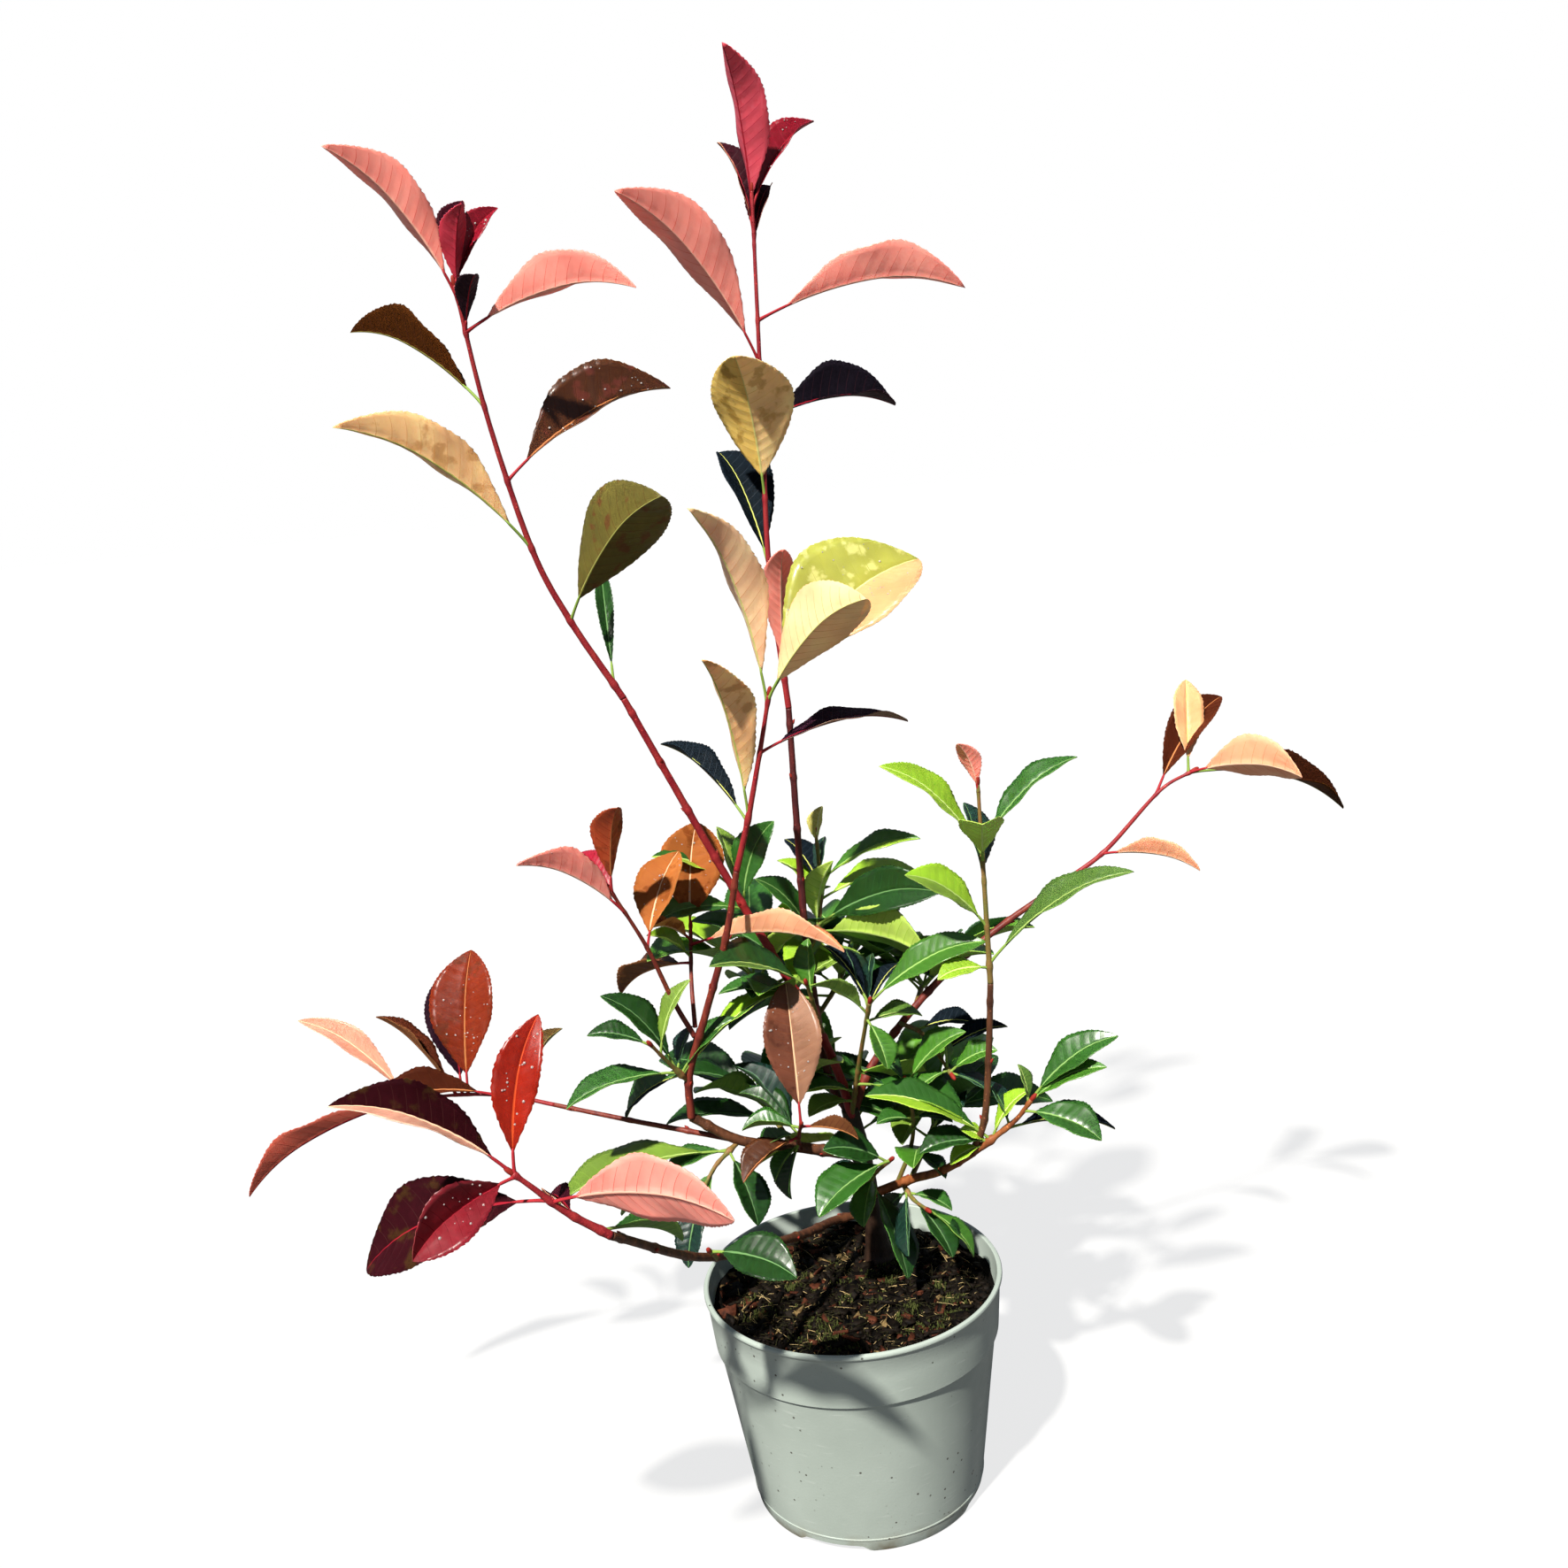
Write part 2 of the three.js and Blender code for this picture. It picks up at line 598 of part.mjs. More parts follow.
function leafFrame(leaf) {
  // Directions along the leaf, of its arch, up from its face and across it.
  const compass = THREE.MathUtils.degToRad(leaf.compass);
  const rise = THREE.MathUtils.degToRad(leaf.rise);
  const along = new THREE.Vector3(
    Math.cos(rise) * Math.cos(compass),
    Math.cos(rise) * Math.sin(compass),
    Math.sin(rise),
  );
  const lift = new THREE.Vector3(0, 0, 1).addScaledVector(along, -along.z).normalize();
  const up = lift.clone().applyAxisAngle(along, THREE.MathUtils.degToRad(leaf.roll));
  const across = new THREE.Vector3().crossVectors(along, up);
  return { along, lift, up, across };
}

function bladeHalfWidth(leaf, share) {
  const blade = (share - PETIOLE_SHARE) / (1 - PETIOLE_SHARE);
  return leaf.width / 2 * Math.sin(Math.PI * blade ** 1.25) ** 0.72;
}

function leafPoint(leaf, frame, share) {
  return leaf.base.clone()
    .addScaledVector(frame.along, leaf.length * share)
    .addScaledVector(frame.lift, leaf.length * LEAF_ARCH * 4 * share * (1 - share));
}

function leafEdge(leaf, frame, share, side) {
  const half = bladeHalfWidth(leaf, share);
  return leafPoint(leaf, frame, share)
    .addScaledVector(frame.across, side * half * Math.cos(leaf.fold))
    .addScaledVector(frame.up, half * Math.sin(leaf.fold));
}

function leafSolid(leaf, grow = 0) {
  // A folded blade that is thickest along its midrib, on a petiole that starts inside the stem.
  const frame = leafFrame(leaf);
  const half = leaf.length * LEAF_THICKNESS / 2 + grow;
  const ringOf = (share, left, right, thick) => {
    const centre = leafPoint(leaf, frame, share);
    const top = centre.clone().addScaledVector(frame.up, thick);
    const bottom = centre.clone().addScaledVector(frame.up, -thick);
    return [left, top, right, bottom];
  };
  const petiole = leafPoint(leaf, frame, PETIOLE_SHARE);
  const thin = PETIOLE_RADIUS + grow;
  const rings = [ringOf(
    PETIOLE_SHARE,
    petiole.clone().addScaledVector(frame.across, -thin),
    petiole.clone().addScaledVector(frame.across, thin),
    thin,
  )];
  for (const share of BLADE_STATIONS) {
    const left = leafEdge(leaf, frame, share, -1).addScaledVector(frame.across, -grow);
    const right = leafEdge(leaf, frame, share, 1).addScaledVector(frame.across, grow);
    rings.push(ringOf(share, left, right, half));
  }
  return solidOfRings(rings, leafPoint(leaf, frame, 0), leafPoint(leaf, frame, 1));
}

function leafSamples(leaf) {
  const frame = leafFrame(leaf);
  return [
    leafPoint(leaf, frame, 0.35),
    leafPoint(leaf, frame, 0.65),
    leafPoint(leaf, frame, 0.95),
    leafEdge(leaf, frame, 0.55, -1),
    leafEdge(leaf, frame, 0.55, 1),
  ];
}

function chance(seed) {
  // A repeatable number from 0 to 1 for each whole seed.
  const value = Math.sin(seed * 12.9898) * 43758.5453;
  return value - Math.floor(value);
}

function leafOn(mass, axis, row) {
  const [share, compass, rise, length, roll = 0, width = BLADE_SHARE, fold = mass.fold] = row;
  return {
    base: axis.getPointAt(share),
    compass,
    rise,
    length,
    roll,
    width: width * length,
    fold: THREE.MathUtils.degToRad(fold),
  };
}

function insideSpace(point) {
  // Clear of the pot's wall and rim, and above the compost.
  const radius = Math.hypot(point.x, point.y);
  const overPot = radius < RIM_RADIUS - 6 && point.z > SOIL_TOP + 5;
  return overPot || point.z > POT_HEIGHT + 5 || radius > RIM_RADIUS + 5;
}

function isClear(leaf, filled) {
  return leafSamples(leaf).every((point) => insideSpace(point)
    && filled.every((other) => other.distanceTo(point) > LEAF_CLEARANCE));
}

function ruledLeaves(mass, axis, filled) {
  // Leaves in a spiral up the stem. One that meets something turns on, and is skipped at last.
  const leaves = [];
  for (let count = 0; count < (mass.fill ?? 0); count += 1) {
    const seed = mass.seed * 100 + count * 3;
    const share = 0.3 + 0.69 * (count + 0.5) / mass.fill;
    const rise = FILL_RISE + FILL_RISE_SPREAD * (chance(seed) - 0.35);
    const length = FILL_LENGTH + FILL_LENGTH_SPREAD * chance(seed + 1);
    const roll = FILL_ROLL * (chance(seed + 2) - 0.5);
    for (let turn = 0; turn < TRIES; turn += 1) {
      const compass = (count * TURN + mass.seed * 70 + turn * TRY_TURN) % 360;
      const leaf = leafOn(mass, axis, [share, compass, rise, length, roll]);
      if (isClear(leaf, filled)) {
        leaves.push(leaf);
        filled.push(...leafSamples(leaf));
        break;
      }
    }
  }
  return leaves;
}

// --- Plant --------------------------------------------------------------------------------

function boxesMeet(a, b) {
  const first = a.boundingBox();
  const second = b.boundingBox();
  return [0, 1, 2].every((k) => first.min[k] < second.max[k] && second.min[k] < first.max[k]);
}

function overlaps(solid, other) {
  return boxesMeet(solid, other) && !solid.intersect(other).isEmpty();
}

function fittingLeaf(leaf, others) {
  // The leaf itself, or the largest smaller one that leaves every other solid its gap.
  return SHRINKS
    .map((shrink) => ({ ...leaf, length: leaf.length * shrink, width: leaf.width * shrink }))
    .find((smaller) => {
      const room = leafSolid(smaller, GAP);
      return !others.some((other) => overlaps(room, other));
    });
}

function buildPlant(plant, pot, soil) {
  const placed = [pot, soil];
  const rooms = [];
  const filled = [];
  for (const [name, limb] of Object.entries(LIMBS)) {
    limb.sides ??= LIMB_SIDES;
    let solid = limbSolid(limb);
    if (limb === LIMBS.trunk) solid = solid.subtract(belowGround());
    for (const room of rooms) {
      if (boxesMeet(solid, room)) solid = solid.subtract(room);
    }
    solid = wholeOf(solid);
    rooms.push(limbSolid(limb, GAP));
    placed.push(solid);
    filled.push(...axisOf(limb).getSpacedPoints(Math.round(axisOf(limb).getLength() / 6)));
    plant.add(meshOf(name, solid, bark));
  }
  const grown = Object.entries(MASSES).map(([name, mass]) => {
    const axis = axisOf(mass);
    const leaves = (mass.leaves ?? []).map((row) => leafOn(mass, axis, row));
    filled.push(...axis.getSpacedPoints(8), ...leaves.flatMap(leafSamples));
    return { name, mass, axis, leaves };
  });
  for (const { mass, axis, leaves } of grown) leaves.push(...ruledLeaves(mass, axis, filled));
  const stems = grown.map(({ mass }) => {
    let stem = limbSolid(mass);
    for (const room of rooms) {
      if (boxesMeet(stem, room)) stem = stem.subtract(room);
    }
    return wholeOf(stem);
  });
  grown.forEach(({ name, mass, leaves }, order) => {
    let solid = stems[order];
    const others = [...placed, ...stems.slice(order + 1)];
    for (const leaf of leaves) {
      const fitting = fittingLeaf(leaf, others);
      if (fitting) solid = solid.add(leafSolid(fitting));
    }
    solid = wholeOf(solid);
    placed.push(solid);
    plant.add(meshOf(`${name}_leaves`, solid, mass.fold === YOUNG_FOLD ? newFoliage : foliage));
  });
}

const plant = new THREE.Group();
const potBody = potSolid();
const soilBody = soilSolid();
plant.add(meshOf('pot', potBody, plastic));
plant.add(meshOf('compost', soilBody, compost));
buildPlant(plant, potBody, soilBody);

export default plant;
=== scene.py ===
"""Photinia 'red robin' in a nursery pot: the looks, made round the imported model.

The plant grows here by the rules of the part's source, with finer leaves, twigs and bark.
Sizes are in millimetres until a mesh is made; meshes and the camera are in metres.
"""

import math

import bpy
import numpy as np
from mathutils import Matrix, Vector


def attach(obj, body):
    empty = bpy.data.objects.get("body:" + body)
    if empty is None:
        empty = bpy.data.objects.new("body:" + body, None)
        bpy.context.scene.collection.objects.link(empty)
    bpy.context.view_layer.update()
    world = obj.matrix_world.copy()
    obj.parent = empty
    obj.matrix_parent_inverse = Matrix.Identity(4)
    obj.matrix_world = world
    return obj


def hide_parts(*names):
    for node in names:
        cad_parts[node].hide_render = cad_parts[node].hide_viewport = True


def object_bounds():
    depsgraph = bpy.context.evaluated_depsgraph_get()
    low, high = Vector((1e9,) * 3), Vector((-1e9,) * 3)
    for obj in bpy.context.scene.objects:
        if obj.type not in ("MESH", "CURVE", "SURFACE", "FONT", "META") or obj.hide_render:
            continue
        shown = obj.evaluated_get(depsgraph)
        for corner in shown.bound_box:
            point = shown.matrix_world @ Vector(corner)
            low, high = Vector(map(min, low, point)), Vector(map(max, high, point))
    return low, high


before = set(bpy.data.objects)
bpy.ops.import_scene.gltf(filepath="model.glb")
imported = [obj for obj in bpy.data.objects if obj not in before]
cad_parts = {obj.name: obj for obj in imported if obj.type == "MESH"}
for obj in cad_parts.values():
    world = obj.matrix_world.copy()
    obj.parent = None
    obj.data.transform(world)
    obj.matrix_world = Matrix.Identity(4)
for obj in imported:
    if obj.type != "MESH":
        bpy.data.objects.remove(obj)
cad_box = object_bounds()

MM = 0.001
WHOLE_TURN = 2 * math.pi
ASKEW = (0.3, 1, 0.2)

# Pot
POT_HEIGHT = 146
RIM_RADIUS = 95
LIP_HEIGHT = 3.5
LIP_DEPTH = 1.2
COLLAR_HEIGHT = 36
COLLAR_TAPER = 3
COLLAR_STEP = 3.2
BASE_RADIUS = 73.5
WALL = 2
FLOOR = 7
HOLLOW = 1.2
MOULD_LINE = 9
ARCH_COUNT = 4
ARCH_FIRST = -20.7
ARCH_SPAN = 34
ARCH_HEIGHT = 4.5
ARCH_DEPTH = 9
POT_SIDES = 192
POT_CREASE = 32

# Compost
SOIL_TOP = 132
SOIL_RELIEF = 3.5
SOIL_FLAT = 22
SOIL_GAP = 0.4
SOIL_FOOT_RADIUS = 72
SOIL_WAIST_RADIUS = 85.9
SOIL_WAIST_HEIGHT = 106
SOIL_SIDES = 150
SOIL_RINGS = 60
CHIP_COUNT, CHIP_SEED = 2600, 5000
FIBRE_COUNT, FIBRE_SEED = 1500, 30000
TUFT_COUNT, TUFT_SEED = 60, 60000
TUFT_STRANDS = 30

# Stems
FLARE = 5
FLARE_HEIGHT = 9
RING_STEP = 1.2
TRUNK_SIDES = 28
BOUGH_SIDES = 18
TWIG_SIDES = 12
TRUNK_NODE_GAP = 60
NODE_GAP = 32
NODE_SWELL = 0.2
NODE_SPREAD = 2.2
BARK_RELIEF = 0.035
STALK_SIDES = 8
BUD_SIZE = 0.9
END_BUD = (7, 1.5)
EGG_RINGS = 7

# Leaves
PETIOLE_SHARE = 0.14
PETIOLE_RADIUS = 0.9
BLADE_SHARE = 0.42
BLADE_THICKNESS = 0.5
LEAST_HALF = 0.25
LEAF_ARCH = 0.07
YOUNG_FOLD = 42
OLD_FOLD = 22
LONG_LEAF = 78
LONG_VEINS = 13
SHORT_VEINS = 9
VEIN_SKEW = 0.5
VEIN_HALF = 0.22
RIB_HALF = 0.75
RIB_GROOVE = 0.35
RIB_KEEL = 0.7
QUILT = 0.35
TOOTH = 0.6
EDGE_WAVE = 0.014
EDGE_WAVES = 2.2
TIP_DROOP = 0.05
DROOP_FROM = 0.55
DROP_SPACING = 4
DROP_SIDES = 10

# Ruled leaves
TURN = 137.5
TRY_TURN = 50
TRIES = 7
FILL_COUNT = 9
FILL_MORE = 1.2
FILL_FROM = 0.3
FILL_SPAN = 0.69
FILL_RISE = 16
FILL_RISE_SPREAD = 44
FILL_LENGTH = 60
FILL_LENGTH_SPREAD = 34
FILL_ROLL = 60
LEAF_CLEARANCE = 4
POT_CLEARANCE = 5

# Patterns, in features to a metre
MOTTLE = 45
BLOTCH = 95
NET = 520
SHEEN = 240
PITS = 330
STREAKS = (260, 260, 60)
SCUFFS = (60, 60, 420)

# Light, and half the floor's width in metres
SKY_LIGHT = 0.26
SKY_COLOUR = "#D6E6FF"
BACKDROP = 1.0
STAGE_HALF = 30
FLOOR_TONE = "#5C5C5C"
FLOOR_GLOW = 0.78
KEY_LIGHT = 7.8
KEY_COLOUR = (1.0, 0.96, 0.89)
KEY_SPREAD = 2
KEY_TRAVEL = (0.28, 0.55, -0.79)

# Light that passes through a blade: its share, and its reach in red, green and blue.
LEAF_GLOW = 1.0
GLOW_REACH = (0.5, 0.6, 0.5)

# Camera, fitted to the pot in the photograph: place, yaw, pitch and roll in degrees, and lens.
CAMERA_PLACE = (0, -0.888, 0.652)
CAMERA_TURNS = (-0.93, 11.8, -5.3)
CAMERA_LENS = 35
SENSOR_WIDTH = 36

# Each limb: the bends of its axis, its radius at foot and tip, and its bark.
LIMBS = {
    "trunk": ([[20, 38, 128], [17, 37, 163], [14, 36, 202], [8, 38, 240]], 7, 5.6, "old"),
    "tall_left_bough": (
        [[9, 35, 236], [3, 31, 267], [-7, 30, 298], [-27, 28, 342], [-53, 22, 401], [-104, 2, 526]],
        3, 2, "crimson"),
    "tall_centre_bough": (
        [[6, 41, 238], [-4, 47, 262], [-10, 46, 344], [-10, 48, 400], [-8, 48, 504]], 2.8, 1.9,
        "maroon"),
    "slanting_bough": (
        [[10, 38, 236], [25, 46, 265], [63, 58, 305], [109, 66, 340], [162, 74, 370]], 2.8, 1.8,
        "red"),
    "mid_bough_base": (
        [[14, 35, 208], [-28, 24, 223], [-64, 16, 235], [-92, 10, 256]], 3.8, 2.9, "brown"),
    "mid_bough": (
        [[-92, 9, 256], [-90, 6, 286], [-75, 0, 328], [-58, -6, 376], [-47, -12, 419]], 2.6, 1.9,
        "red"),
    "far_left_twig": ([[-70, 17, 236], [-132, 26, 250], [-182, 34, 262]], 1.8, 1.4, "red"),
    "low_left_bough": (
        [[17, 35, 168], [-8, 16, 174], [-31, -30, 190], [-78, -123, 232], [-117, -196, 288]], 2.8,
        2.2, "brown"),
    "low_right_bough": (
        [[16, 34, 180], [43, 14, 199], [62, -2, 211], [81, -16, 228]], 3.2, 2.3, "orange"),
    "right_bough": (
        [[80, -15, 227], [89, -22, 254], [94, -26, 302], [97, -28, 341]], 2.2, 1.8, "brown"),
}

# Each mass: the bends of its stem, its radius at foot and tip, its bark, then its leaves: tint, or
# left and right tint, place along the stem, compass bearing, rise, length, roll, width as a share
# of the length, and a fold of its own.
MASSES = {
    "tall_left_top": (
        [[-104, 2, 526], [-129, -4, 575], [-145, -10, 618], [-159, -20, 693], [-166, -28, 762]],
        2.1, 1.1, "crimson",
        ("deep_green", 0.04, 97, 58, 80, 0, 0.18), ("olive", 0.22, 321, 42, 106, -60, 0.56),
        ("peach_green", 0.41, 210, 39, 126, 35, 0.33), ("bronze", 0.57, 26, 26, 113, 40, 0.46),
        ("dark_bronze", 0.74, 148, 31, 108, 35, 0.37), ("coral", 0.9, 335, 8, 109, -35, 0.34),
        ("black", 0.9, 295, 40, 42), ("coral", 0.97, 211, 54, 99, 35, 0.34),
        ("crimson", 0.98, 300, 62, 49), ("maroon", 0.99, 79, 66, 55),
        ("red", 0.99, 41, 56, 54, 40)),
    "tall_left_middle": (
        [[-27, 29, 342], [-41, 44, 365], [-55, 58, 391]], 1.7, 1.1, "green",
        ("lime|green", 0.98, 205, 33, 60, -30, 0.28), ("olive_green", 0.88, 110, 55, 50, 40, 0.48),
        ("green", 0.75, 340, 68, 62, 70, 0.46), ("green|leaf_green", 0.72, 207, 7, 62, -25, 0.38),
        ("deep_green|green", 0.15, 166, 27, 58, -5, 0.55)),
    "tall_centre_top": (
        [[-8, 48, 504], [-12, 50, 592], [-8, 54, 681], [-4, 56, 768], [-2, 57, 810]], 2, 1,
        "crimson",
        ("pink", 0.06, 278, 63, 94, 0, 0.3), ("navy", 0.28, 116, 54, 94, 0, 0.46),
        # The pale_gold|gold leaf is paler on its left half for the sun on it and darker on its
        # right half for the shade: painted light and painted shade.
        ("pale_gold|gold", 0.42, 257, 66, 92, 0, 0.6, 25), ("black", 0.57, 30, 5, 97, 40, 0.46),
        ("coral", 0.68, 217, 50, 130, 35, 0.35), ("coral", 0.76, 21, 8, 140, -35, 0.31),
        ("rose", 0.94, 252, 77, 97, -20, 0.36), ("red", 0.97, 33, 48, 69, 30),
        ("maroon", 0.92, 130, 68, 62, 0, 0.35), ("maroon", 0.9, 69, 49, 52)),
    "tall_centre_middle": (
        [[-11, 47, 342], [-1, 60, 362], [2, 68, 392], [2, 72, 418]], 1.7, 1.1, "green",
        ("deep_green", 0.27, 327, 21, 95, 60, 0.35), ("lime", 0.25, 19, 74, 45, -60, 0.6),
        ("leaf_green|lime", 0.61, 343, 25, 74, 25, 0.28), ("lime", 0.47, 12, 10, 68, 10, 0.44),
        ("yellow", 0.89, 46, 75, 26, -90, 0.6), ("navy", 0.58, 128, 42, 42, 10, 0.6),
        # The moss_green|lime leaf is darker on its left half for the shade on it and lime on its
        # right half for the light on it: painted shade and painted light.
        ("teal", 0.63, 76, 47, 32, -40, 0.6), ("moss_green|lime", 0.22, 325, -4, 85, -60, 0.54),
        ("lime", 0.47, 157, 46, 38, 0, 0.58), ("deep_green", 0.25, 18, 8, 86, 10, 0.4),
        ("green", 0.15, 204, 56, 60, -50, 0.36)),
    "mid_top": (
        [[-47, -12, 419], [-37, -16, 451], [-27, -20, 488], [-18, -24, 524]], 2, 1.2,
        "crimson",
        ("navy", 0.29, 139, 36, 79, 0, 0.3), ("peach_green", 0.32, 252, 67, 111, -20, 0.31),
        ("plum", 0.68, 25, 5, 99, 0, 0.4, 12), ("peach", 0.95, 236, 67, 128, 0, 0.28),
        ("tan", 0.97, 317, 39, 98, -60, 0.52), ("yellow|tan", 0.99, 27, 35, 126, 40, 0.6, 25)),
    "side_coral": (
        [[-84, 3, 312], [-95, 0, 339], [-106, -8, 376], [-122, -18, 415]], 1.7, 1, "red",
        ("coral", 0.85, 214, 37, 78, 30, 0.4), ("rust", 0.99, 294, 65, 64),
        ("crimson", 0.97, 127, 35, 40), ("orange", 0.6, 57, 54, 64, 0, 0.55, 20)),
    "side_orange": (
        [[-83, 3, 318], [-84, 22, 341], [-82, 34, 372]], 1.5, 1, "red",
        ("orange", 0.95, 75, 66, 72, 25, 0.6, 15), ("apricot", 0.84, 328, 6, 112, -35, 0.28),
        ("orange", 0.89, 236, 30, 42), ("bronze", 0.66, 143, -22, 71),
        ("lime", 0.72, 194, 38, 32, -25, 0.56)),
    "side_green": (
        [[-91, 7, 281], [-101, -4, 299], [-109, -14, 315]], 1.6, 1, "green",
        ("deep_green", 0.33, 189, 56, 68, -30, 0.38), ("deep_green", 0.98, 180, 18, 40, -15, 0.5),
        ("green", 0.26, 195, -5, 72, -5, 0.4), ("olive_green", 0.75, 16, 65, 50, 15, 0.36),
        ("lime|leaf_green", 0.18, 8, 35, 88, 5, 0.27), ("green", 0.2, 6, 43, 50, 15, 0.42),
        ("teal", 0.3, 59, 50, 30, -25, 0.58), ("navy|green", 0.2, 159, -34, 52, -25, 0.58)),
    "far_left": (
        [[-182, 34, 262], [-211, 38, 269], [-242, 42, 271], [-280, 44, 270]], 1.4, 0.9,
        "crimson",
        ("rust", 0.58, 82, 68, 94, 0, 0.5, 20), ("plum", 0.62, 100, 62, 84, 0, 0.45, 12),
        ("brown", 0.66, 150, 40, 78, 20, 0.25), ("blush", 0.98, 174, 44, 88, -40, 0.26),
        ("red_bronze", 0.99, 193, -21, 116, 30, 0.26), ("olive_brown", 0.25, 49, 39, 54, 0, 0.4),
        ("brown", 0.4, 195, 8, 77, -30, 0.4)),
    "low_left": (
        [[-117, -196, 288], [-136, -203, 306], [-150, -208, 323], [-158, -210, 332]], 2.3, 1.2,
        "crimson",
        ("umber", 0.62, 162, -20, 120, -50, 0.38, 15), ("wine", 0.96, 220, -16, 61, -60, 0.6),
        ("blush|umber", 0.99, 196, 36, 94, -35, 0.35), ("scarlet", 0.98, 52, 72, 77, 35, 0.33, 20),
        ("coral", 0.59, 334, 6, 101, -75, 0.42, 10), ("maroon", 0.36, 118, -5, 40),
        ("green", 0.1, 38, -25, 52)),
    "rim_left": (
        [[-66, 15, 233], [-79, 2, 226], [-87, -8, 217]], 1.6, 1, "green",
        ("olive_green", 0.2, 185, -9, 115, 0, 0.37), ("green", 0.15, 187, -15, 46, -5, 0.58),
        ("deep_green", 0.2, 297, -45, 50, -20, 0.58), ("leaf_green", 0.5, 215, -61, 52, -10, 0.58),
        ("teal", 0.98, 245, -50, 50), ("green", 0.99, 160, -20, 66)),
    "front_bronze": (
        [[-26, 23, 222], [-26, 2, 239], [-23, -18, 257]], 1.6, 1, "red",
        ("copper|pale_copper", 0.99, 94, 74, 88, 0, 0.45, 25),
        ("brown|bronze", 0.56, 215, -17, 46, -5, 0.6), ("brown", 0.94, 353, -12, 36, -55, 0.48),
        ("leaf_green", 0.25, 224, -32, 28, 5, 0.6), ("green", 0.9, 177, 4, 36, -5, 0.6),
        ("teal", 0.56, 148, 46, 61, 5, 0.5), ("deep_green", 0.64, 155, 34, 46, 0, 0.6),
        ("deep_green", 0.3, 222, -70, 36, 5, 0.6), ("green", 0.72, 158, -29, 34, -30, 0.58)),
    "centre_left": (
        [[-5, 30, 296], [-8, 18, 316], [-12, 4, 339]], 1.6, 1, "green",
        ("moss_green|deep_green", 0.99, 202, 25, 66, -15, 0.6),
        ("green", 0.71, 176, 10, 58, -10, 0.38), ("leaf_green", 0.69, 85, 75, 38, -45, 0.6)),
    "centre_front": (
        [[9, 34, 238], [17, 10, 286], [25, -16, 331]], 1.8, 1.1, "green",
        ("leaf_green", 0.99, 350, 30, 81, 40, 0.3), ("navy", 0.98, 134, 45, 47, 15, 0.48),
        ("teal", 0.94, 107, 45, 44, 40, 0.52), ("teal", 0.92, 79, 42, 41, -45, 0.55),
        ("navy", 0.95, 43, 36, 36, -15, 0.6), ("leaf_green|lime", 0.9, 212, 39, 48, 25, 0.44),
        ("leaf_green", 0.86, 294, -45, 34, -15, 0.6), ("moss_green", 0.83, 14, -1, 36, 10, 0.58),
        ("green|lime", 0.27, 326, -5, 76, 0, 0.5), ("olive_green", 0.12, 220, 7, 38, -5, 0.6),
        ("lime|green", 0.2, 202, 17, 34, -10, 0.55), ("teal", 0.38, 11, -36, 30, 20, 0.58)),
    "trunk_front": (
        [[17, 37, 185], [19, 12, 205], [30, -8, 224]], 1.8, 1.1, "green",
        ("green", 0.99, 216, -13, 60, -5, 0.58), ("leaf_green", 0.55, 253, -27, 38, 25, 0.6),
        ("deep_green|green", 0.3, 291, -42, 66, -30, 0.44),
        ("deep_green", 0.93, 200, 27, 46, -35, 0.58), ("teal", 0.65, 163, -18, 40, -20, 0.58),
        ("deep_green", 0.45, 150, 40, 34, 0, 0.58)),
    "low_right": (
        [[81, -16, 228], [106, -24, 250], [117, -28, 265]], 2.2, 1.1, "orange",
        ("green", 0.99, 353, 39, 66, 30, 0.38), ("leaf_green", 0.94, 342, 31, 54, 25, 0.38),
        ("green", 0.83, 328, -10, 50, 15, 0.6), ("navy", 0.5, 13, -8, 73, 0, 0.4),
        ("lime", 0.3, 350, 55, 40, 20, 0.44), ("moss_green", 0.94, 114, 70, 24, 30, 0.58),
        ("teal", 0.57, 135, 60, 30, 15, 0.6), ("deep_green", 0.25, 190, 2, 44, -10, 0.6),
        ("lime", 0.16, 200, -14, 24, -15, 0.6), ("lime", 0.22, 189, 38, 20, -40, 0.6),
        ("lime|green", 0.28, 185, 30, 84, -20, 0.34)),
    "right_top": (
        [[97, -28, 341], [97, -29, 369], [97, -30, 410], [97, -31, 463]], 1.8, 1, "green",
        ("moss_green", 0.1, 348, 35, 101, 15, 0.28), ("lime", 0.08, 200, 2, 34, -25, 0.52),
        ("olive_green|lime", 0.29, 200, 42, 64, -45, 0.4), ("lime", 0.65, 197, 49, 85, -40, 0.28),
        ("green", 0.69, 10, 40, 76, 10, 0.32), ("lime", 0.62, 265, 39, 56, 0, 0.5),
        ("teal", 0.52, 102, 59, 50, 40, 0.6), ("coral", 0.96, 219, 68, 34, 30)),
    "right_tip": (
        [[162, 74, 370], [190, 76, 388], [226, 78, 423], [248, 80, 434]], 1.7, 1, "crimson",
        ("apricot", 0.27, 330, -4, 64, -30, 0.4), ("brown", 0.75, 36, 41, 86, 30, 0.4),
        ("cream", 0.98, 75, 60, 66, 30, 0.36, 15), ("apricot", 0.99, 320, 4, 74, -60, 0.55, 25),
        ("dark_bronze", 0.99, 17, -17, 123, 35, 0.28)),
    "right_bush": (
        [[46, 52, 290], [59, 28, 290], [72, -2, 275]], 1.6, 1, "green",
        ("navy", 0.3, 345, 10, 38, 10, 0.6), ("leaf_green", 0.98, 343, 30, 34, 25, 0.6),
        ("moss_green", 0.92, 86, 72, 20, 60, 0.58), ("leaf_green", 0.95, 205, -17, 24, 0, 0.58),
        ("teal", 0.99, 348, -29, 28, 5, 0.6), ("navy", 0.75, 10, 18, 47, 5, 0.46)),
    "low_bush": (
        [[34, 21, 193], [44, 14, 220], [47, 8, 243], [44, 4, 269]], 1.6, 1, "green",
        ("leaf_green", 0.98, 351, 44, 52, 20, 0.5), ("deep_green", 0.99, 137, 33, 28, 10, 0.6),
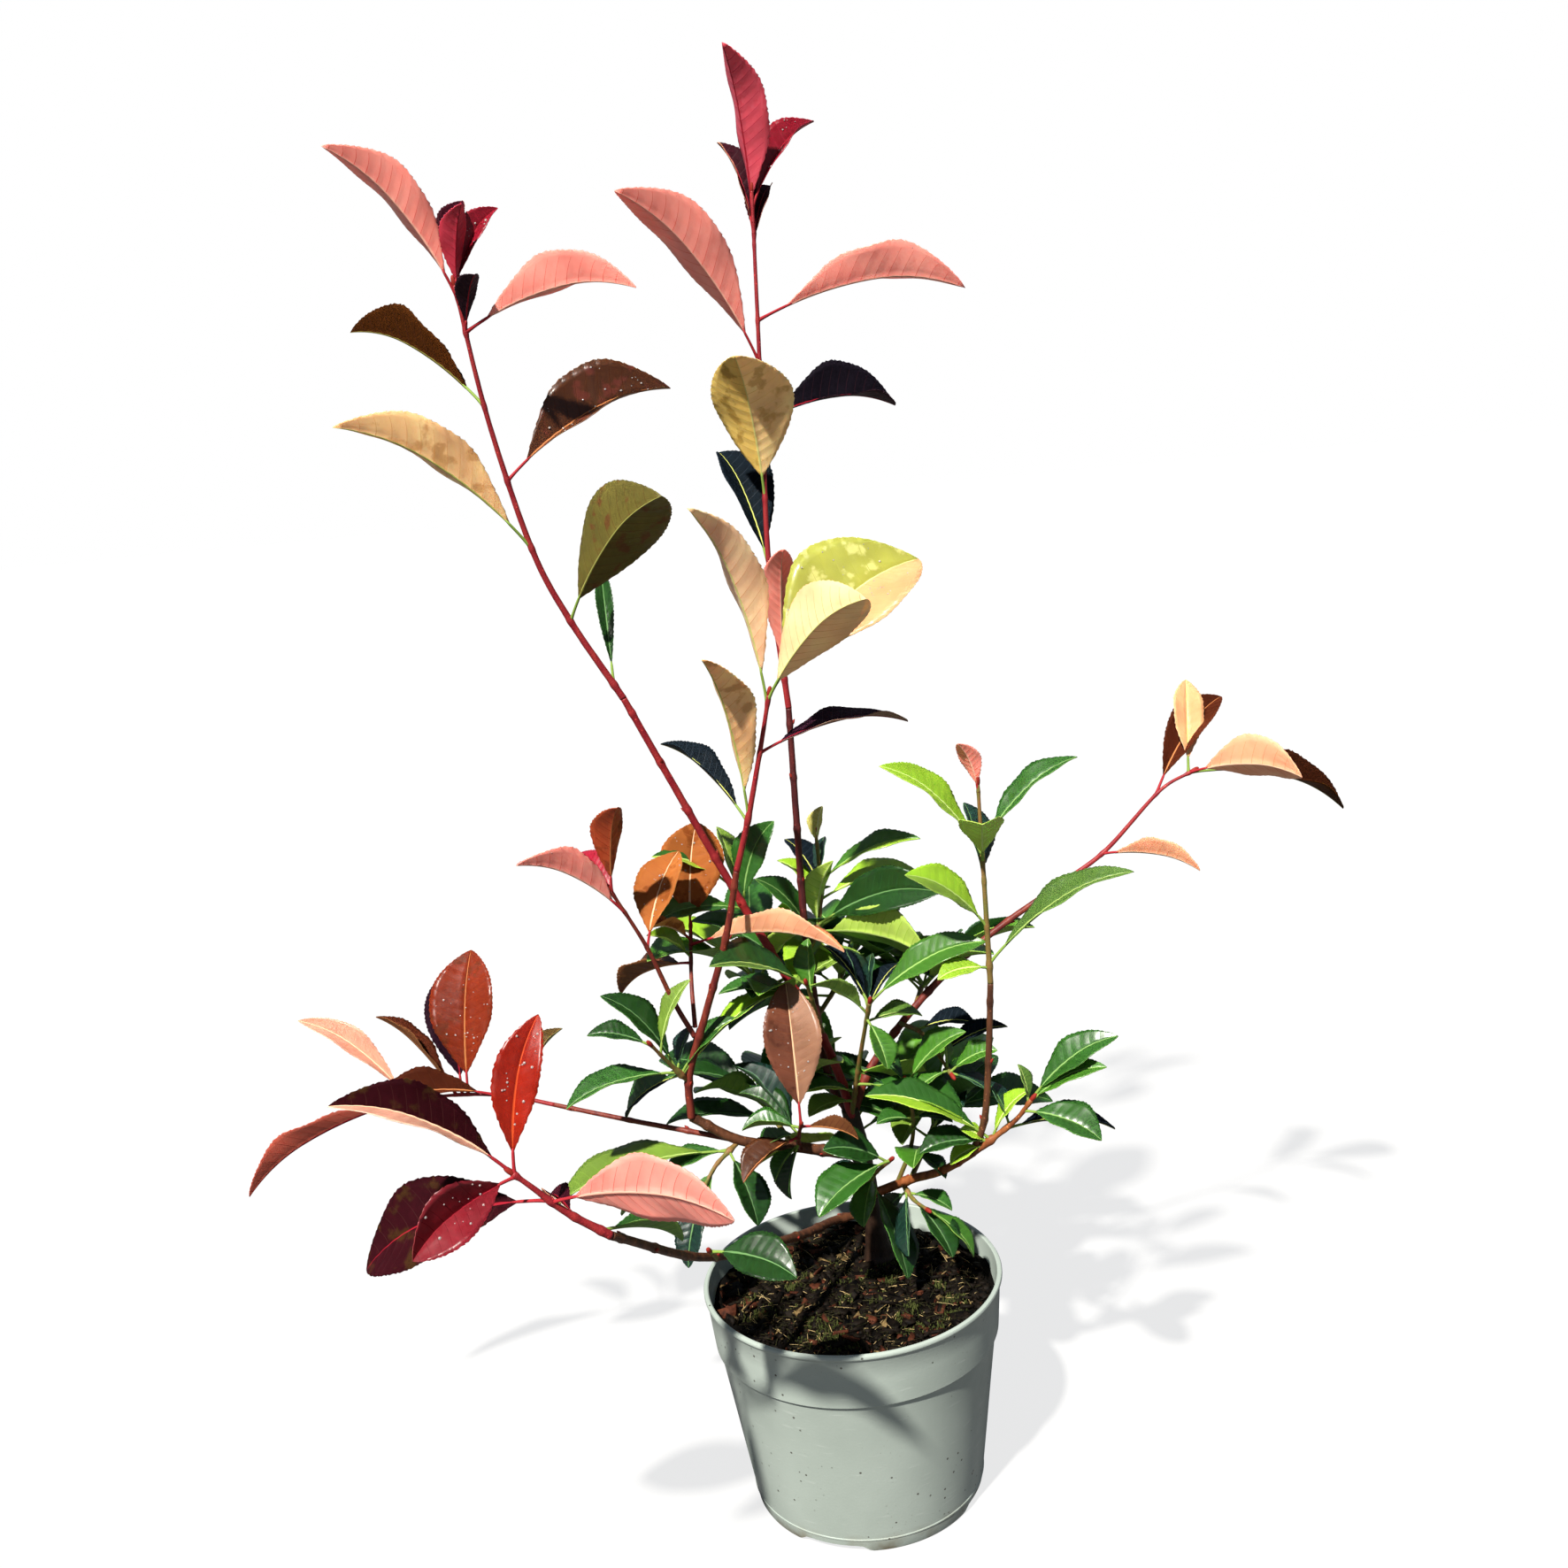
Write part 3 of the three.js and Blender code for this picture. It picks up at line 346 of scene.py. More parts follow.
        ("teal", 0.68, 336, 2, 26, 5, 0.6), ("green", 0.66, 204, 12, 26, -15, 0.6),
        ("deep_green", 0.35, 317, -20, 30, -10, 0.6)),
    "low_front": (
        [[37, 18, 195], [43, 4, 190], [50, -10, 190]], 1.5, 1, "green",
        ("teal", 0.2, 265, -30, 46, 60, 0.5), ("deep_green", 0.5, 304, -33, 44, -15, 0.6),
        ("leaf_green", 0.99, 352, -48, 43, 10, 0.44), ("green", 0.3, 332, -11, 30, 0, 0.6),
        ("deep_green", 0.25, 144, -50, 30, -60, 0.55)),
    "rim_front": (
        [[-74, -118, 228], [-76, -128, 238]], 1.4, 1, "green",
        ("deep_green", 0.95, 330, -2, 54, 30, 0.55)),
    "back_left": ([[-8, 30, 298], [-32, 60, 312], [-56, 84, 328]], 1.8, 1, "green"),
    "back_right": ([[58, 57, 302], [64, 86, 302], [68, 112, 292]], 1.8, 1, "green"),
    "back_centre": ([[-10, 47, 298], [10, 88, 312], [20, 120, 328]], 1.8, 1, "green"),
    "back_low": ([[15, 37, 196], [12, 78, 214], [8, 112, 236]], 1.8, 1, "green"),
    "back_low_left": ([[-30, 25, 223], [-44, 58, 232], [-60, 86, 246]], 1.8, 1, "green"),
    "back_low_right": ([[43, 15, 199], [60, 48, 214], [74, 78, 232]], 1.8, 1, "green"),
}

# The seeds of the masses with ruled leaves.
FILL_SEEDS = {
    "back_left": 37, "back_right": 18, "back_centre": 34, "back_low": 8, "back_low_left": 16,
    "back_low_right": 14,
}

# Which masses share one piece of leaves and one piece of twigs.
GROUPS = {
    "tall_left": ["tall_left_top", "tall_left_middle"],
    "tall_centre": ["tall_centre_top", "tall_centre_middle"],
    "mid": ["mid_top", "side_coral", "side_orange", "side_green"],
    "left": ["far_left", "low_left", "rim_left"],
    "front": ["front_bronze", "centre_left", "centre_front", "trunk_front", "low_bush",
              "low_front", "rim_front"],
    "right": ["low_right", "right_top", "right_tip", "right_bush"],
    "back_upper": ["back_left", "back_right", "back_centre"],
    "back_lower": ["back_low", "back_low_left", "back_low_right"],
}

# Leaf tints: upper face, underside, midrib with petiole, and side veins.
TINTS = {
    "coral": "#F0564C #FF9A8C #F2B09A #B8483E",
    "rose": "#B42A3E #D25060 #8E1626 #A83048",
    "crimson": "#8E1228 #B83044 #8E1626 #A83048",
    "red": "#7E0C1E #961C30 #8E1626 #A83048",
    "scarlet": "#8E1804 #9A3E1E #B84420 #8A2010",
    "pink": "#EE7868 #FF9888 #F0C4A4 #C8705C",
    "blush": "#DCA088 #F0C4AE #F0C4A4 #D8907C",
    "peach": "#F0A870 #FFCCA4 #D2CE80 #D08A5C",
    "peach_green": "#F0A868 #FFC890 #B8BC62 #C48A4C",
    "cream": "#EEAE7C #FCCCA0 #D2CE80 #E0A078",
    "apricot": "#E49060 #FFAE88 #F0C4A4 #C8705C",
    "tan": "#DCA070 #F6C896 #D2CE80 #C08250",
    "yellow": "#A2A448 #BCB466 #DCDC98 #A8A848",
    "gold": "#D8B458 #DCBC68 #D2CE80 #7C6A28",
    # pale_gold: a paler copy of gold for the sunlit half of one leaf: painted light.
    "pale_gold": "#F0D088 #F8D498 #D2CE80 #C8A860",
    "olive": "#4A4418 #5C541E #A8A858 #6A3420",
    "copper": "#744430 #94684C #D8B08C #7C4028",
    "pale_copper": "#946C54 #A07C62 #D8B08C #9A6448",
    "orange": "#9C5C2C #B87C44 #D8B08C #8A3C1C",
    "rust": "#782408 #9C4220 #A8683C #6E2C14",
    "bronze": "#4E2812 #724420 #B87848 #4A2414",
    "dark_bronze": "#34160A #422008 #8E8A44 #3C1C10",
    "red_bronze": "#7E2A1C #A85040 #8E1626 #5A1A18",
    "brown": "#4C2012 #6A4226 #B87848 #3C1C10",
    "umber": "#2C0A10 #3A1014 #8E1626 #3C1C10",
    "olive_brown": "#56421E #A08A54 #B8BC62 #7C4028",
    "wine": "#741620 #AC4848 #8E1626 #40101A",
    "maroon": "#300C16 #B07860 #8E1626 #40101A",
    "plum": "#24101C #7E6054 #8E1626 #40101A",
    # black: a dark leaf top painted near black for the shade on it: painted shade.
    "black": "#16121A #2A1820 #8E1626 #40101A",
    # navy: a dark leaf top painted blue-black for the shade on it and the sky's reflection: painted
    # shade and painted reflection.
    "navy": "#10181F #18222A #B8BC62 #2A3440",
    # lime: the leaf's own yellow-green, made brighter to stand for sun shining through the blade:
    # partly painted light.
    "lime": "#8EB42C #B2CC5C #C8DC84 #86AA44",
    "bright_green": "#568A24 #90B44A #9ABC60 #7CA04A",
    "moss_green": "#4E6E2A #708E40 #9AB060 #5C7838",
    "leaf_green": "#40721E #7C9C44 #8CB060 #5C8846",
    "olive_green": "#6A862E #8CA252 #A4BC68 #7C9C44",
    "green": "#2C5C1C #658A3A #7CA05C #4A7844",
    "deep_green": "#1A4012 #4A7230 #5E8450 #34603A",
    "teal": "#142E26 #486C4C #5E8450 #34603A",
}

RULED_TINTS = [
    "green", "bright_green", "deep_green", "leaf_green", "green", "lime", "deep_green",
    "olive_green", "teal", "leaf_green", "bright_green", "green"]
DULL_TINTS = {
    "navy", "black", "maroon", "plum", "umber", "dark_bronze", "brown", "orange", "pale_gold",
    "gold"}

# Leaves with rain beads on them.
WET_TINTS = {
    "coral", "olive", "copper", "rust", "bronze", "red", "scarlet", "wine", "rose", "yellow",
    "orange", "apricot"}

# The colour of the blotches on a tint's leaves.
BLOTCHES = {
    "olive": "#5E2410", "yellow": "#D8D68C", "gold": "#8E6A28", "pale_gold": "#B8924A",
    "copper": "#4E2616", "bronze": "#6E3026", "orange": "#6E3410", "rust": "#5A2A12",
    "peach_green": "#C08A4A", "umber": "#3E2A12",
}

# Bark tints: dark and light streaks.
BARKS = {
    "old": "#1C110B #3A261A",
    "brown": "#3C2014 #6A4028",
    "orange": "#6A3418 #9A5A30",
    "red": "#561416 #7E3424",
    "maroon": "#360E14 #5E201E",
    "crimson": "#7E1020 #9A2C2A",
    "green": "#5C6A2C #8A5A38",
}
YOUNG_BARKS = {"crimson", "red"}
STALKS = {"petiole_red": "#A02830", "petiole_green": "#7E9A44", "bud": "#8A2A22"}

# Compost and what lies on it: dark and light tint, patches to a metre, roughness, and relief in
# metres.
GROUNDS = {
    # soil and dark_chip: compost's own near-black, made darker still for the shade of the leaves
    # above: partly painted shade.
    "soil": ("#030202", "#0C0906", 200, 0.95, 0.002),
    "dark_chip": ("#050403", "#1C150F", 300, 0.6, 0.0004),
    "red_chip": ("#2A140C", "#5A3020", 300, 0.6, 0.0004),
    "tan_chip": ("#4A3820", "#86704A", 300, 0.7, 0.0004),
    "straw": ("#8A7244", "#C8B080", 300, 0.8, 0.0004),
    "shred": ("#15150C", "#3C3A22", 400, 0.8, 0.0004),
    "moss": ("#20260E", "#565C30", 400, 0.9, 0.001),
}


# --- Numbers ---


def linear(text):
    """An sRGB hex colour as linear red, green, blue and alpha."""
    parts = [int(text[at:at + 2], 16) / 255 for at in (1, 3, 5)]
    return [(c / 12.92 if c <= 0.04045 else ((c + 0.055) / 1.055) ** 2.4) for c in parts] + [1]


def shade(colour, factor):
    """A linear colour made darker or lighter."""
    return [min(1, c * factor) for c in colour[:3]] + [1]


def chance(seed):
    """A repeatable number from 0 to 1 for each whole seed."""
    value = math.sin(seed * 12.9898) * 43758.5453
    return value - math.floor(value)


def chances(seed, count):
    return [chance(seed + at) for at in range(count)]


def unit(vector):
    return vector / np.linalg.norm(vector)


def angles_of(sides):
    return np.linspace(0, WHOLE_TURN, sides, endpoint=False)


class Axis:
    """The smooth line through bends, measured by its length."""

    SAMPLES = 400

    def __init__(self, bends):
        knots = np.array(bends, float)
        knots = np.vstack([2 * knots[0] - knots[1], knots, 2 * knots[-1] - knots[-2]])
        spans = len(bends) - 1
        places = np.linspace(0, spans, self.SAMPLES + 1)
        span = np.minimum(places.astype(int), spans - 1)
        w = (places - span)[:, None]
        before, start, end, after = (knots[span + step] for step in range(4))
        leave, arrive = (end - before) / 2, (after - start) / 2
        self.points = (
            start + leave * w + (3 * (end - start) - 2 * leave - arrive) * w ** 2
            + (2 * (start - end) + leave + arrive) * w ** 3)
        steps = np.linalg.norm(np.diff(self.points, axis=0), axis=1)
        self.lengths = np.concatenate([[0], np.cumsum(steps)])
        self.length = self.lengths[-1]

    def at(self, share):
        place = np.asarray(share) * self.length
        return np.stack([np.interp(place, self.lengths, self.points[:, k]) for k in range(3)], -1)

    def spread(self, count):
        return self.at(np.linspace(0, 1, count))


def ring_frames(points):
    """Two directions square to a line at each of its points, turning as little as they can."""
    tangents = np.gradient(points, axis=0)
    tangents /= np.linalg.norm(tangents, axis=1)[:, None]
    side = unit(np.cross(tangents[0], ASKEW))
    sides = []
    for tangent in tangents:
        side = unit(side - tangent * (side @ tangent))
        sides.append(side)
    return np.array(sides), np.cross(tangents, sides)


# --- Meshes ---


def new_object(name, data):
    obj = bpy.data.objects.new(name, data)
    bpy.context.collection.objects.link(obj)
    return obj


def grid_faces(rows, columns, wrap=False):
    """The quads between rows of equally many vertices."""
    row, column = np.meshgrid(
        np.arange(rows - 1), np.arange(columns if wrap else columns - 1), indexing="ij")
    follow = (column + 1) % columns
    low, high = row * columns, (row + 1) * columns
    return np.stack([low + column, low + follow, high + follow, high + column], -1).reshape(-1, 4)


class Batch:
    """Vertices and faces of many small forms, made into one mesh."""

    def __init__(self):
        self.verts, self.faces, self.looks, self.slots, self.count = [], [], [], [], 0

    def add(self, verts, faces, look):
        """faces is an array of quads or triangles; look is a look's name, or one for each face."""
        faces = np.asarray(faces)
        looks = look if isinstance(look, list) else [look] * len(faces)
        for one in dict.fromkeys(looks):
            if one not in self.slots:
                self.slots.append(one)
        order = {one: at for at, one in enumerate(self.slots)}
        self.verts.append(np.asarray(verts))
        self.faces.append(faces + self.count)
        self.looks.append(np.array([order[one] for one in looks]))
        self.count += len(verts)

    def add_rings(self, rings, ends, look):
        """A closed skin over rings of points, with a fan from the first and last to its end."""
        count, sides = rings.shape[:2]
        self.add(
            np.concatenate([rings.reshape(-1, 3), ends]), grid_faces(count, sides, wrap=True), look)
        around = np.arange(sides)
        follow = (around + 1) % sides
        last = (count - 1) * sides
        fans = np.concatenate([
            np.stack([follow, around, np.full(sides, count * sides)], -1),
            np.stack([last + around, last + follow, np.full(sides, count * sides + 1)], -1)])
        self.faces.append(fans + self.count - count * sides - 2)
        self.looks.append(np.full(2 * sides, self.slots.index(look)))

    def build(self, name):
        mesh = bpy.data.meshes.new(name)
        faces = [face for part in self.faces for face in part.tolist()]
        mesh.from_pydata(np.concatenate(self.verts) * MM, [], faces, shade_flat=False)
        mesh.polygons.foreach_set("material_index", np.concatenate(self.looks).astype(np.int32))
        for slot in self.slots:
            mesh.materials.append(MATERIALS[slot])
        mesh.validate()
        return new_object(name, mesh)


def tube(batch, points, radii, sides, look):
    """A closed tube. radii is one radius a point, or one for each vertex of each ring."""
    points = np.asarray(points, float)
    radii = np.asarray(radii, float)
    if radii.ndim == 1:
        radii = np.repeat(radii[:, None], sides, 1)
    first, second = ring_frames(points)
    angles = angles_of(sides)
    rings = points[:, None] + radii[..., None] * (
        first[:, None] * np.cos(angles)[:, None] + second[:, None] * np.sin(angles)[:, None])
    batch.add_rings(rings, points[[0, -1]], look)


def egg(batch, centre, along, length, radius, sides, look):
    """A small closed egg, as a bud or a drop."""
    turn = np.linspace(0.02, math.pi - 0.02, EGG_RINGS)
    points = centre + np.outer(-np.cos(turn) * length / 2, along)
    tube(batch, points, radius * np.sin(turn) ** 0.8, sides, look)


# --- Materials ---

MATERIALS = {}


class Look:
    """A new material with a Principled shader, and the nodes that feed it."""

    def __init__(self, name, **values):
        self.material = bpy.data.materials.new(name)
        self.material.use_nodes = True
        self.nodes = self.material.node_tree.nodes
        self.links = self.material.node_tree.links
        self.shader = self.nodes["Principled BSDF"]
        for key, value in values.items():
            self.shader.inputs[key.replace("_", " ")].default_value = value
        self.place = self.nodes.new("ShaderNodeTexCoord").outputs["Object"]
        MATERIALS[name] = self.material

    def node(self, kind, output, **sources):
        """The output of a new node, with what each of its sockets is fed."""
        node = self.nodes.new(kind)
        for key, source in sources.items():
            self.feed(node.inputs[key.replace("_", " ")], source)
        return node.outputs[output]

    def feed(self, socket, source):
        """Gives a socket a plain value, or links it to another node's output."""
        if isinstance(source, bpy.types.NodeSocket):
            self.links.new(source, socket)
        else:
            socket.default_value = source

    def stretched(self, scale):
        return self.node("ShaderNodeMapping", "Vector", Vector=self.place, Scale=scale)

    def noise(self, scale, detail=3, place=None):
        return self.node(
            "ShaderNodeTexNoise", "Fac", Vector=place or self.place, Scale=scale, Detail=detail)

    def cells(self, scale, feature="DISTANCE_TO_EDGE"):
        distance = self.node("ShaderNodeTexVoronoi", "Distance", Vector=self.place, Scale=scale)
        distance.node.feature = feature
        return distance

    def steps(self, value, low, high, low_value=0.0, high_value=1.0):
        return self.node(
            "ShaderNodeMapRange", "Result", Value=value,
            From_Min=low, From_Max=high, To_Min=low_value, To_Max=high_value)

    def sum(self, operation, first, second):
        node = self.nodes.new("ShaderNodeMath")
        node.operation = operation
        self.feed(node.inputs[0], first)
        self.feed(node.inputs[1], second)
        return node.outputs["Value"]

    def mix(self, share, first, second):
        node = self.nodes.new("ShaderNodeMix")
        node.data_type = "RGBA"
        self.feed(node.inputs["Factor"], share)
        for name, value in (("A", first), ("B", second)):
            socket = next(one for one in node.inputs if one.name == name and one.type == "RGBA")
            self.feed(socket, value)
        return next(one for one in node.outputs if one.type == "RGBA")

    def specked(self, tone, colour, cells, size, most, scale, where, detail=3):
        """A tone with round specks of another colour, where a noise is high."""
        specks = self.steps(self.cells(cells, "F1"), *size, most, 0)
        some = self.sum("MULTIPLY", specks, self.steps(self.noise(scale, detail), *where))
        return self.mix(some, tone, colour)

    def colour(self, value):
        self.links.new(value, self.shader.inputs["Base Color"])

    def rough(self, value):
        self.links.new(value, self.shader.inputs["Roughness"])

    def bump(self, height, distance, strength):
        normal = self.node(
            "ShaderNodeBump", "Normal", Height=height, Distance=distance, Strength=strength)
        self.links.new(normal, self.shader.inputs["Normal"])


def blade_look(name, colour, rough, coat, gloss, net_tone, blotch):
    """A leaf's face: mottled, netted and pitted, glossier in patches, some with blotches."""
    look = Look(
        name, Coat_Weight=coat, Coat_Roughness=0.25, Specular_IOR_Level=gloss,
        Subsurface_Weight=LEAF_GLOW, Subsurface_Radius=GLOW_REACH, Subsurface_Scale=MM)
    mottle = look.steps(look.noise(MOTTLE), 0.3, 0.7)
    tone = look.mix(mottle, shade(colour, 0.8), shade(colour, 1.15))
    if blotch:
        patches = look.steps(look.noise(BLOTCH, 5), 0.56, 0.64, 0, 0.65)
        tone = look.mix(patches, tone, linear(blotch))
    net = look.cells(NET)
    look.colour(look.mix(look.steps(net, 0, 0.08, 0.14, 0), tone, shade(colour, net_tone)))
    look.rough(look.steps(look.noise(SHEEN), 0.3, 0.7, rough - 0.1, rough + 0.12))
    look.bump(look.sum("ADD", look.steps(net, 0, 0.25), look.noise(PITS)), 0.0002, 0.06)


def rib_look(name, colour):
    look = Look(name, Roughness=0.55, Specular_IOR_Level=0.12)
    look.colour(look.mix(look.noise(150), shade(colour, 0.8), shade(colour, 1.15)))
    look.bump(look.noise(800), 0.0002, 0.4)


def bark_look(name, dark, light):
    """Smooth young bark: streaks along the stem and pale specks."""
    look = Look(
        name, Roughness=0.55, Specular_IOR_Level=0.3, Coat_Weight=0.08, Coat_Roughness=0.3)
    streaks = look.noise(1, 5, look.stretched(STREAKS))
    tone = look.mix(look.steps(streaks, 0.3, 0.7), dark, light)
    look.colour(look.specked(tone, shade(light, 1.9), 380, (0.16, 0.24), 1, 90, (0.5, 0.6)))
    look.bump(look.sum("ADD", streaks, look.noise(1200, 4)), 0.0005, 0.6)


def ground_look(name, dark, light, scale, rough, height):
    look = Look(name, Roughness=rough, Specular_IOR_Level=0.08)
    look.colour(look.mix(look.steps(look.noise(scale, 5), 0.32, 0.68), linear(dark), linear(light)))
    look.bump(look.noise(scale * 5, 5), height, 0.8)


def pot_look():
    """Pale moulded plastic: faint clouds, scuffs, dark specks, dust, and dirt about the foot."""
    look = Look("pot_plastic", Coat_Weight=0.1, Coat_Roughness=0.3)
    clouds = look.steps(look.noise(14, 4), 0.3, 0.7)
    tone = look.mix(clouds, linear("#98A39B"), linear("#A8B3AB"))
    scuffs = look.steps(look.noise(1, 6, look.stretched(SCUFFS)), 0.62, 0.72, 0, 0.3)
    tone = look.mix(scuffs, tone, linear("#BEC6C0"))
    tone = look.specked(tone, linear("#33291E"), 150, (0.09, 0.13), 0.9, 22, (0.5, 0.55), 2)
    tone = look.specked(tone, linear("#5A5040"), 330, (0.06, 0.12), 0.6, 36, (0.52, 0.62))
    low = look.steps(look.node("ShaderNodeSeparateXYZ", "Z", Vector=look.place), 0, 0.014, 1, 0)
    dirt = look.sum("MULTIPLY", low, look.steps(look.noise(55, 6), 0.44, 0.66))
    look.colour(look.mix(dirt, tone, linear("#6E644E")))
    look.rough(look.steps(look.noise(120, 4), 0.3, 0.7, 0.34, 0.5))
    look.bump(look.sum("ADD", look.noise(700, 4), scuffs), 0.00012, 0.6)


def make_looks():
    for name, tints in TINTS.items():
        top, under, rib, vein = map(linear, tints.split())
        dull = name in DULL_TINTS
        coat = 0.0 if dull else 0.35 if top[1] > top[0] else 0.1
        rough, gloss, under_gloss = (0.58, 0.02, 0.02) if dull else (0.38, 0.3, 0.25)
        blotch = BLOTCHES.get(name)
        blade_look(f"{name}_top", top, rough, coat, gloss, 1.15, blotch)
        blade_look(f"{name}_under", under, 0.58, 0.03, under_gloss, 0.9, blotch)
        rib_look(f"{name}_rib", rib)
        rib_look(f"{name}_vein", [0.6 * a + 0.4 * b for a, b in zip(top, vein)])
    for name, tints in BARKS.items():
        bark_look(f"{name}_bark", *map(linear, tints.split()))
    for name, tint in STALKS.items():
        rib_look(name, linear(tint))
    for name, values in GROUNDS.items():
        ground_look(name, *values)
    pot_look()
    # The rain beads are pale and partly opaque, not clear, so that they read as bright glints:
    # painted highlight.
    Look("water", Base_Color=linear("#F4F0EC"), Roughness=0.12, IOR=1.33, Transmission_Weight=0.7)


# --- Leaves ---


class Leaf:
    """A leaf's place and directions, as in the part's source."""

    def __init__(self, axis, fold, tint, share, compass, rise, length, roll=0,
                 width=BLADE_SHARE, own_fold=None):
        self.left, self.right = tint.split("|")[0], tint.split("|")[-1]
        self.share, self.length, self.width = share, length, width * length
        self.base = axis.at(share)
        self.fold = math.radians(own_fold or fold)
        bearing, climb, roll = map(math.radians, (compass, rise, roll))
        self.along = np.array([
            math.cos(climb) * math.cos(bearing), math.cos(climb) * math.sin(bearing),
            math.sin(climb)])
        self.lift = unit(np.array([0, 0, 1]) - self.along * self.along[2])
        self.up = self.lift * math.cos(roll) + np.cross(self.along, self.lift) * math.sin(roll)
        self.across = np.cross(self.along, self.up)
        self.seed = int(share * 97 + compass * 3 + length)
        self.veins = LONG_VEINS if length > LONG_LEAF else SHORT_VEINS

    def half_width(self, blade):
        return self.width / 2 * np.sin(math.pi * np.clip(blade, 0, 1) ** 1.25) ** 0.72

    def point(self, share):
        share = np.asarray(share, float)[..., None]
        return (
            self.base + self.along * self.length * share
            + self.lift * self.length * LEAF_ARCH * 4 * share * (1 - share))

    def edge(self, share, side):
        half = self.half_width((share - PETIOLE_SHARE) / (1 - PETIOLE_SHARE))
        return (
            self.point(share) + self.across * side * half * math.cos(self.fold)
            + self.up * half * math.sin(self.fold))

    def samples(self):
        return np.array([self.point(share) for share in (0.35, 0.65, 0.95)]
                        + [self.edge(0.55, side) for side in (-1, 1)])


def vein_line(leaf, start, reach):
    """Where a side vein has got to that leaves the midrib at start, and half the width there."""
    place = start + VEIN_SKEW * start * (1 - start) * reach ** 1.3
    return place, np.maximum(leaf.half_width(place), LEAST_HALF)


def surface(leaf, start, column):
    """Points of the blade's middle surface. start is where a side vein leaves the midrib, column
    runs from -1 at the left edge to 1 at the right one."""
    reach = np.abs(column)
    place, half = vein_line(leaf, start, reach)
    swell = QUILT * np.abs(np.sin(math.pi * (start * leaf.veins - 0.5))) * (1 - reach ** 2)
    wave = leaf.length * EDGE_WAVE * np.sin(
        WHOLE_TURN * (EDGE_WAVES * place + chance(leaf.seed)) + column * 1.3)
    height = (
        half * math.sin(leaf.fold) * reach ** 1.2 + swell * np.minimum(1, half / 10) * (reach > 0)
        + wave * reach ** 2 * np.sin(math.pi * np.clip(place, 0, 1)))
    droop = TIP_DROOP * leaf.length * np.clip((place - DROOP_FROM) / (1 - DROOP_FROM), 0, 1) ** 2
    return (
        leaf.point(PETIOLE_SHARE + (1 - PETIOLE_SHARE) * place)
        + leaf.across * (column * half * math.cos(leaf.fold))[..., None]
        + leaf.up * height[..., None] - leaf.lift * droop[..., None])


def blade(batch, leaf):
    """A closed thin blade. Its rows follow the side veins: two bound each vein, two fill the gap
    to the next."""
    veins = leaf.veins
    across = [0.2, 0.4, 0.6, 0.8, 1.0] if veins == LONG_VEINS else [0.28, 0.52, 0.76, 1.0]
    columns = np.concatenate([-np.array(across[::-1]), [-1e-6, 0, 1e-6], across])[None]
    reach = np.abs(columns)
    root = ((np.arange(veins)[:, None] + 0.5 + np.array([0, 0, 0.36, 0.68])) / veins).ravel()
    spread = (np.tile([-1, 1, 0, 0], (veins, 1)) * VEIN_HALF / leaf.length).ravel()
    kept = root < 0.985
    root = np.concatenate([[0], root[kept], [1]])[:, None]
    spread = np.concatenate([[0], spread[kept], [0]])[:, None]
    rows, wide = len(root), columns.shape[1]
    start = root + spread * (1 - 0.6 * reach)
    _, half = vein_line(leaf, start, reach)
    rib = np.minimum(RIB_HALF * (1 - 0.75 * root), half * 0.12)
    tooth = (np.arange(rows) % 2)[:, None] * np.minimum(TOOTH, half * 0.12)
    beside_rib = (reach > 0) & (reach < 1e-3)
    column = np.where(beside_rib, np.sign(columns) * rib / half, columns * np.ones_like(half))
    column = np.where(reach == 1, columns * (1 - tooth / half), column)
    middle = surface(leaf, start, column)
    ridge = np.where(reach == 0, 1.0, 0.0) * (1 - 0.6 * root)
    top = middle + leaf.up * (BLADE_THICKNESS / 2 - RIB_GROOVE * ridge)[..., None]
    under = middle - leaf.up * (BLADE_THICKNESS / 2 + RIB_KEEL * ridge)[..., None]

    strip = np.arange(wide - 1)[None]
    in_rib = (strip == wide // 2 - 1) | (strip == wide // 2)
    in_vein = ((spread[:-1] < 0) & (spread[1:] > 0)) & (strip > 0) & (strip < wide - 2)

    def halves(look):
        return np.where(strip < wide // 2, f"{leaf.left}_{look}", f"{leaf.right}_{look}")

    def face_looks(side):
        looks = np.where(in_vein, halves("vein"), halves(side))
        return np.where(in_rib, f"{leaf.left}_rib", looks).ravel().tolist()

    faces = grid_faces(rows, wide)
    total = rows * wide
    left = np.arange(rows) * wide
    right = left + wide - 1
    foot = np.arange(wide)
    tip = foot + total - wide
    borders = (
        (left[:-1], left[1:]), (right[1:], right[:-1]), (foot[1:], foot[:-1]), (tip[:-1], tip[1:]))
    rims = np.concatenate([
        np.stack([one, two, two + total, one + total], -1) for one, two in borders])
    batch.add(
        np.concatenate([top.reshape(-1, 3), under.reshape(-1, 3)]),
        np.concatenate([faces, faces[:, ::-1] + total, rims]),
        face_looks("top") + face_looks("under") + [f"{leaf.left}_under"] * len(rims))


def petiole(batch, leaf):
    """A leaf's stalk, red where its midrib is."""
    shape = [1.5, 1.15, 1, 0.95, 0.95, 0.9, 0.6]
    shares = np.linspace(0, PETIOLE_SHARE + 0.03, len(shape))
    rib = linear(TINTS[leaf.left].split()[2])
    look = "petiole_red" if rib[0] > 1.3 * rib[1] else "petiole_green"
    tube(batch, leaf.point(shares), PETIOLE_RADIUS * np.array(shape), STALK_SIDES, look)


